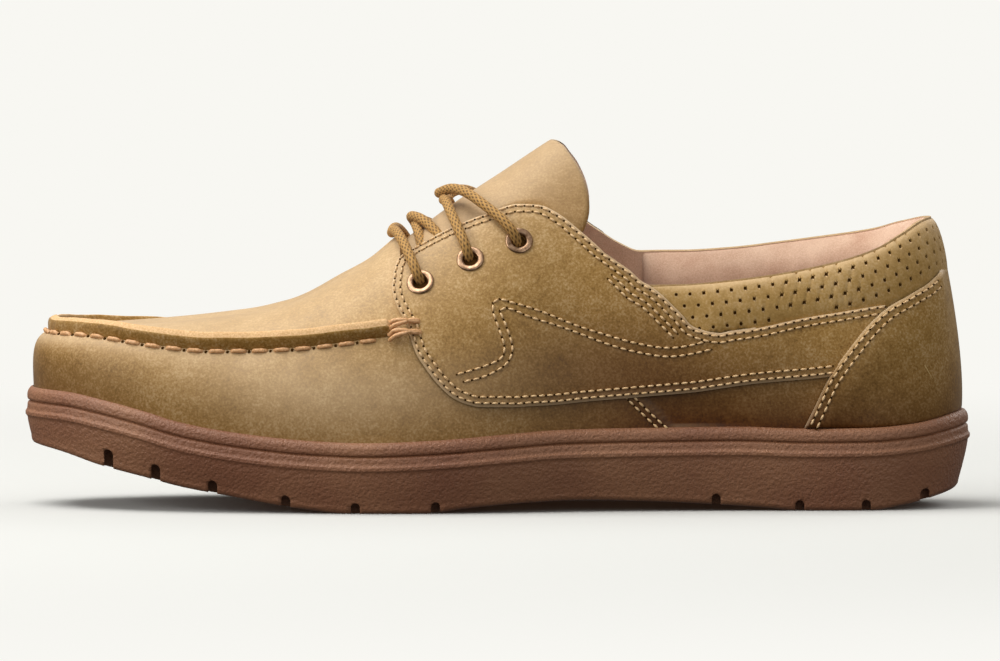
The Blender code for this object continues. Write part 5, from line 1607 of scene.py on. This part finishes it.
def braid(name, route, radius, material):
    """A round braid along a route: two families of carriers that pass over and under each other."""
    line = route.copy()
    for _ in range(3):
        line[1:-1] = 0.25 * line[:-2] + 0.5 * line[1:-1] + 0.25 * line[2:]
    line = even(curve_through(line, LACE_STEP), LACE_STEP)
    ahead = unit(np.gradient(line, axis=0))
    side = np.zeros_like(ahead)
    side[0] = np.cross(ahead[0], [0.0, 0.0, 1.0])
    for k in range(len(line)):
        last = side[max(k - 1, 0)]
        side[k] = last - ahead[k] * np.dot(last, ahead[k])
        side[k] /= np.linalg.norm(side[k])
    other = np.cross(ahead, side)
    around = 2 * math.pi * np.arange(LACE_SIDES) / LACE_SIDES
    run = (np.arange(len(line)) * LACE_STEP / radius)[:, None]
    left = np.cos(CARRIERS * (around[None, :] + 0.45 * run))
    right = np.cos(CARRIERS * (around[None, :] - 0.45 * run))
    lobes = np.maximum(left, right)
    height = 1.00 + 0.06 * np.clip(lobes, -0.3, 1)
    points = hoops(line, side, other, radius * height[:, :, None], LACE_SIDES)
    thing = make_piece(name, points.reshape(-1, 3), tube_faces(len(line), LACE_SIDES), material, 80)
    # Painted shade: darker in the valleys between the carriers.
    paint(thing, "depth", np.clip(0.45 - 0.45 * lobes, 0, 1).reshape(-1))
    return thing


outer_half = stops_to_points(lace_half(-1))
inner_half = stops_to_points(lace_half(1))
lace = braid("braided_lace", np.concatenate([outer_half[::-1], inner_half[1:]]), LACE_RADIUS, waxed_cotton)
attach(lace, "root")
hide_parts("lace_bar", "lace_crossing_low", "lace_crossing_high")

# The apron seam: the edges of the vamp wall and the plug are drawn up together and sewn by hand with a
# thick waxed thread, so the wall's grain side stands up 4 mm and its pale raw edge shows on top.

raw_edge, tree, shader = new_material("raw_cut_leather_edge")
where = add(tree, "ShaderNodeTexCoord").outputs["Object"]
fibre = noise(tree, where, 0.0006, 5.0, 0.7)
tone = two_tones(tree, fibre.outputs["Fac"], 0.30, "#B98C56", 0.68, "#E6C294")
tree.links.new(tone.outputs["Color"], shader.inputs["Base Color"])
bump = add(tree, "ShaderNodeBump", {"Height": fibre.outputs["Fac"], "Strength": 0.3, "Distance": 0.0002})
tree.links.new(bump.outputs["Normal"], shader.inputs["Normal"])
shader.inputs["Roughness"].default_value = 0.85

waxed_twine, tree, shader = new_material("waxed_hand_sewing_twine")
where = add(tree, "ShaderNodeTexCoord").outputs["Object"]
ply = noise(tree, where, 0.0007, 3.0)
tone = two_tones(tree, ply.outputs["Fac"], 0.3, "#B98551", 0.7, "#E3B486")
tree.links.new(tone.outputs["Color"], shader.inputs["Base Color"])
shader.inputs["Roughness"].default_value = 0.5

SEAM_LINE = (
    (0.0265, 0.690), (0.053, 0.691), (0.074, 0.689), (0.095, 0.682), (0.119, 0.671), (0.160, 0.653),
    (0.200, 0.644), (0.250, 0.648), (0.308, 0.664), (0.345, 0.682), (0.383, 0.700), (0.398, 0.707),
)
HAND_PITCH = 0.0068
TWINE_RADIUS = 0.00070
RidgeStep = namedtuple("RidgeStep", "across out raw")
RIDGE = (
    RidgeStep(-0.0006, -0.0006, 0), RidgeStep(-0.0007, 0.0004, 0), RidgeStep(-0.0007, 0.0014, 0),
    RidgeStep(-0.0006, 0.0024, 0), RidgeStep(-0.0004, 0.0031, 0), RidgeStep(-0.0001, 0.0036, 0),
    RidgeStep(0.0002, 0.0037, 1), RidgeStep(0.0009, 0.0039, 1), RidgeStep(0.0017, 0.0040, 1),
    RidgeStep(0.0024, 0.0039, 1), RidgeStep(0.0027, 0.0036, 1), RidgeStep(0.0028, 0.0029, 0),
    RidgeStep(0.0030, 0.0018, 0), RidgeStep(0.0034, 0.0008, 0), RidgeStep(0.0040, 0.0, 0),
    RidgeStep(0.0046, -0.0006, 0),
)

seam_shares = np.array([row[0] for row in SEAM_LINE])
seam_heights = np.array([row[1] for row in SEAM_LINE])
tip_ups = np.linspace(0.2, 0.9, 400)
toe_reach = last_point(np.zeros(400), tip_ups, np.zeros(400))[:, 0]
tip_up = float(tip_ups[np.argmin(np.abs(toe_reach - float(x_at(seam_shares[0]))))])
at = np.linspace(seam_shares[-1], seam_shares[1], 30)
halves = {}
for side in (-1, 1):
    level = smooth(seam_shares, seam_heights, at) * INSTEP_HEIGHT
    if side > 0:
        level -= 0.0017 * np.exp(-(((at - 0.075) / 0.055) ** 2))
    halves[side] = find_on_side(x_at(at), level, side)
seam_turn = np.concatenate([halves[-1][0], [0.0], halves[1][0][::-1] - 2 * math.pi])
seam_up = np.concatenate([halves[-1][1], [tip_up], halves[1][1][::-1]])
route = flatten(seam_turn, seam_up)
round_once = girth_at(2 * math.pi) - girth_at(0.0)
wrapped = seam_turn < -0.45
route[wrapped, 0] = girth_at(seam_turn[wrapped] + 2 * math.pi) - round_once
seam_route = curve_through(route, 0.0004)


def seam_unflatten(flat):
    """As unflatten, for lines that run on past the toe to the inner side."""
    shifted = np.where(flat[..., 0] < 0.02, flat[..., 0] + round_once, flat[..., 0])
    return np.interp(shifted, GIRTH, GIRTH_TURNS), flat[..., 1] / TALL


turn, up = seam_unflatten(seam_route)
spots, normals = last_form(turn, up), last_normal(turn, up)
for _ in range(6):
    normals[1:-1] = normals[:-2] + normals[1:-1] + normals[2:]
    normals = unit(normals)
ahead = unit(np.gradient(spots, axis=0))
upward = np.cross(normals, ahead)
upward *= np.where(upward[:, 2:3].mean() < 0, -1, 1)
at_toe = np.exp(-(((spots[:, 0] + 0.150) / 0.026) ** 2))[:, None]
stood = unit(normals * (0.60 - 0.40 * at_toe) + np.array([0.0, 0.0, 1.0]) * (0.40 + 0.40 * at_toe))
seam_run = run_along(spots)
HAND_COUNT = int(round(seam_run[-1] / HAND_PITCH))
phase = seam_run / seam_run[-1] * HAND_COUNT * 2 * math.pi
taper = np.clip(np.minimum(seam_run, seam_run[-1] - seam_run) / 0.004, 0.15, 1)
points = []
for k in range(len(spots)):
    pull = 0.5 + 0.5 * math.cos(phase[k])
    for step in RIDGE:
        out = step.out * (taper[k] if step.out > 0 else 1)
        tall = out * (1 + 0.02 * math.sin(phase[k] * 0.37 + 1.0) - 0.035 * pull)
        across_by = step.across + 0.00016 * pull * (1 if step.out > 0.0005 else 0)
        points.append(spots[k] + upward[k] * across_by + stood[k] * tall)
sides = len(RIDGE)
ridge = make_piece("apron_seam_ridge", points, tube_faces(len(spots), sides), waxed_leather, 60)
ridge.data.materials.append(raw_edge)
for polygon in ridge.data.polygons:
    columns_of = {v % sides for v in polygon.vertices}
    if len(polygon.vertices) == 4 and all(RIDGE[c].raw for c in columns_of):
        polygon.material_index = 1
# Painted shade: the ridge's grain side, which leans out over the seam, is darkened; its raw edge is not.
paint(ridge, "depth", np.tile([0.30 if not step.raw else 0.0 for step in RIDGE], len(spots)))
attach(ridge, "root")
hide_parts("apron_seam")


def twine(name, centres_run, length, below, lift, material, thick=TWINE_RADIUS):
    """Hand stitches that lie along the foot of the ridge, one joined mesh."""
    points, faces = [], []
    for run in centres_run:
        faces += tube_faces(13, 10, len(points))
        for t in np.linspace(-0.5, 0.5, 13):
            s = run + t * length
            base = np.array([np.interp(s, seam_run, spots[:, i]) for i in range(3)])
            normal = np.array([np.interp(s, seam_run, normals[:, i]) for i in range(3)])
            side = np.array([np.interp(s, seam_run, upward[:, i]) for i in range(3)])
            dive = abs(2 * t) ** 5
            centre = base + normal * (lift - 0.0014 * dive) - side * (below - 0.0005 * dive)
            radius = thick * (1 - 0.25 * abs(2 * t) ** 3) * (1 + 0.06 * math.sin(t * 60))
            points += list(hoops(centre, normal, side, radius, 10))
    return make_piece(name, points, faces, material, 60)


hand_runs = (np.arange(HAND_COUNT) + 0.5) * seam_run[-1] / HAND_COUNT
hand_runs = hand_runs[(hand_runs > 0.004) & (hand_runs < seam_run[-1] - 0.004)]
hand_stitches = twine("hand_stitches", hand_runs, 0.0056, 0.00150, 0.00045, waxed_twine)
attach(hand_stitches, "root")
# Painted shade: short dark marks between the hand stitches stand for the shade in the awl holes.
awl_runs = (hand_runs[1:] + hand_runs[:-1]) / 2
awl_hole_shading = twine("awl_hole_shading", awl_runs, 0.0011, 0.00150, -0.00005, shade_paint_for_holes, 0.00052)
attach(awl_hole_shading, "root")


def round_cord(stops, radius, sides=10):
    """Points and faces of a thread through a few stops."""
    line = curve_through(np.array(stops), 0.0004)
    forward = unit(np.gradient(line, axis=0))
    side = unit(np.cross(forward, [0.1, 0.2, 1.0]))
    points = hoops(line, side, np.cross(forward, side), radius, sides)
    return points.reshape(-1, 3), tube_faces(len(line), sides)


# The seam ends at each eyestay, where the twine is wound a few times over the eyestay's front edge.
points, faces = [], []
for end in (0, len(spots) - 1):
    here, out, rise = spots[end], normals[end], upward[end]
    rear = -ahead[end] if end == 0 else ahead[end]
    for level, slant in ((-0.0020, 0.0012), (-0.0002, -0.0010), (0.0016, 0.0014), (0.0032, -0.0006)):
        stops = [
            here - rear * 0.0035 + rise * (level - 0.0004) + out * 0.0012,
            here - rear * 0.0015 + rise * level + out * 0.0034,
            here + rear * 0.0015 + rise * (level + slant * 0.4) + out * 0.0036,
            here + rear * 0.0040 + rise * (level + slant) + out * (QUARTER_RISE + 0.0011),
            here + rear * 0.0058 + rise * (level + slant) + out * (QUARTER_RISE + 0.0002),
            here + rear * 0.0064 + rise * (level + slant) + out * (QUARTER_RISE - 0.0010),
        ]
        more_points, more_faces = round_cord(stops, TWINE_RADIUS)
        faces += [tuple(len(points) + i for i in face) for face in more_faces]
        points += list(more_points)
windings = make_piece("twine_windings", points, faces, waxed_twine, 60)
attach(windings, "root")

# The collar's lining: suede over a roll of soft foam, sewn to the band along the top line and glued down
# the inside. It is fullest round the ankle and thins out where it meets the eyestays.

PAD_FULL = 0.0078
PAD_TALL = 0.0235
PAD_START = 0.648
PAD_COLUMNS = 420
PadStep = namedtuple("PadStep", "down full")
PAD_SECTION = (
    PadStep(0.0, 0.0), PadStep(0.01, 0.10), PadStep(0.035, 0.24), PadStep(0.08, 0.42), PadStep(0.15, 0.64),
    PadStep(0.25, 0.85), PadStep(0.36, 0.97), PadStep(0.47, 1.0), PadStep(0.58, 0.93), PadStep(0.69, 0.77),
    PadStep(0.79, 0.56), PadStep(0.87, 0.36), PadStep(0.93, 0.22), PadStep(0.97, 0.17), PadStep(1.0, 0.0),
)
padded_turns = collar_turns[collar_share > PAD_START]
at_turn = np.linspace(padded_turns[0], padded_turns[-1], PAD_COLUMNS)
edge_up = np.interp(at_turn, collar_turns, UP_TOP[OPEN])
edge_spots = last_form(at_turn, edge_up)
run = run_along(edge_spots)
ends_near = np.clip(np.minimum(run, run[-1] - run) / 0.013, 0, 1)
fullness = 0.08 + 0.92 * np.sqrt(1 - (1 - ends_near) ** 2)
pucker = 1 + 0.10 * np.sin(run / 0.0031) * np.clip(1 - np.minimum(run, run[-1] - run) / 0.012, 0, 1)
slack = 1 + 0.05 * np.sin(run / 0.0085 + 1.0) + 0.04 * np.sin(run / 0.0052)
rise = np.linalg.norm(last_form(at_turn, edge_up) - last_form(at_turn, edge_up - 0.01), axis=1) / 0.01
points = []
for step in PAD_SECTION:
    up = edge_up - (step.down * PAD_TALL + 0.0002) / rise
    deep = -(WALL - 0.0004) - step.full * PAD_FULL * fullness * pucker * (1 + (slack - 1) * step.full)
    points.append(last_point(at_turn, up, deep))
points = np.array(points)
faces = grid_faces(len(PAD_SECTION), PAD_COLUMNS, False)
last = (len(PAD_SECTION) - 1) * PAD_COLUMNS
faces += [(k, last + k, last + k + 1, k + 1) for k in range(PAD_COLUMNS - 1)]
faces.append(tuple(i * PAD_COLUMNS for i in range(len(PAD_SECTION))))
faces.append(tuple(i * PAD_COLUMNS + PAD_COLUMNS - 1 for i in reversed(range(len(PAD_SECTION)))))
lining = make_piece("collar_lining_padded", points.reshape(-1, 3), faces, suede, 70)
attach(lining, "root")
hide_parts("collar_pad")

# The footbed: a moulded foam insole with a brushed suede cover, dropped in loose. Only its top shows.

footbed_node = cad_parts["insole"]
footbed_node.data.materials.clear()
footbed_node.data.materials.append(suede)
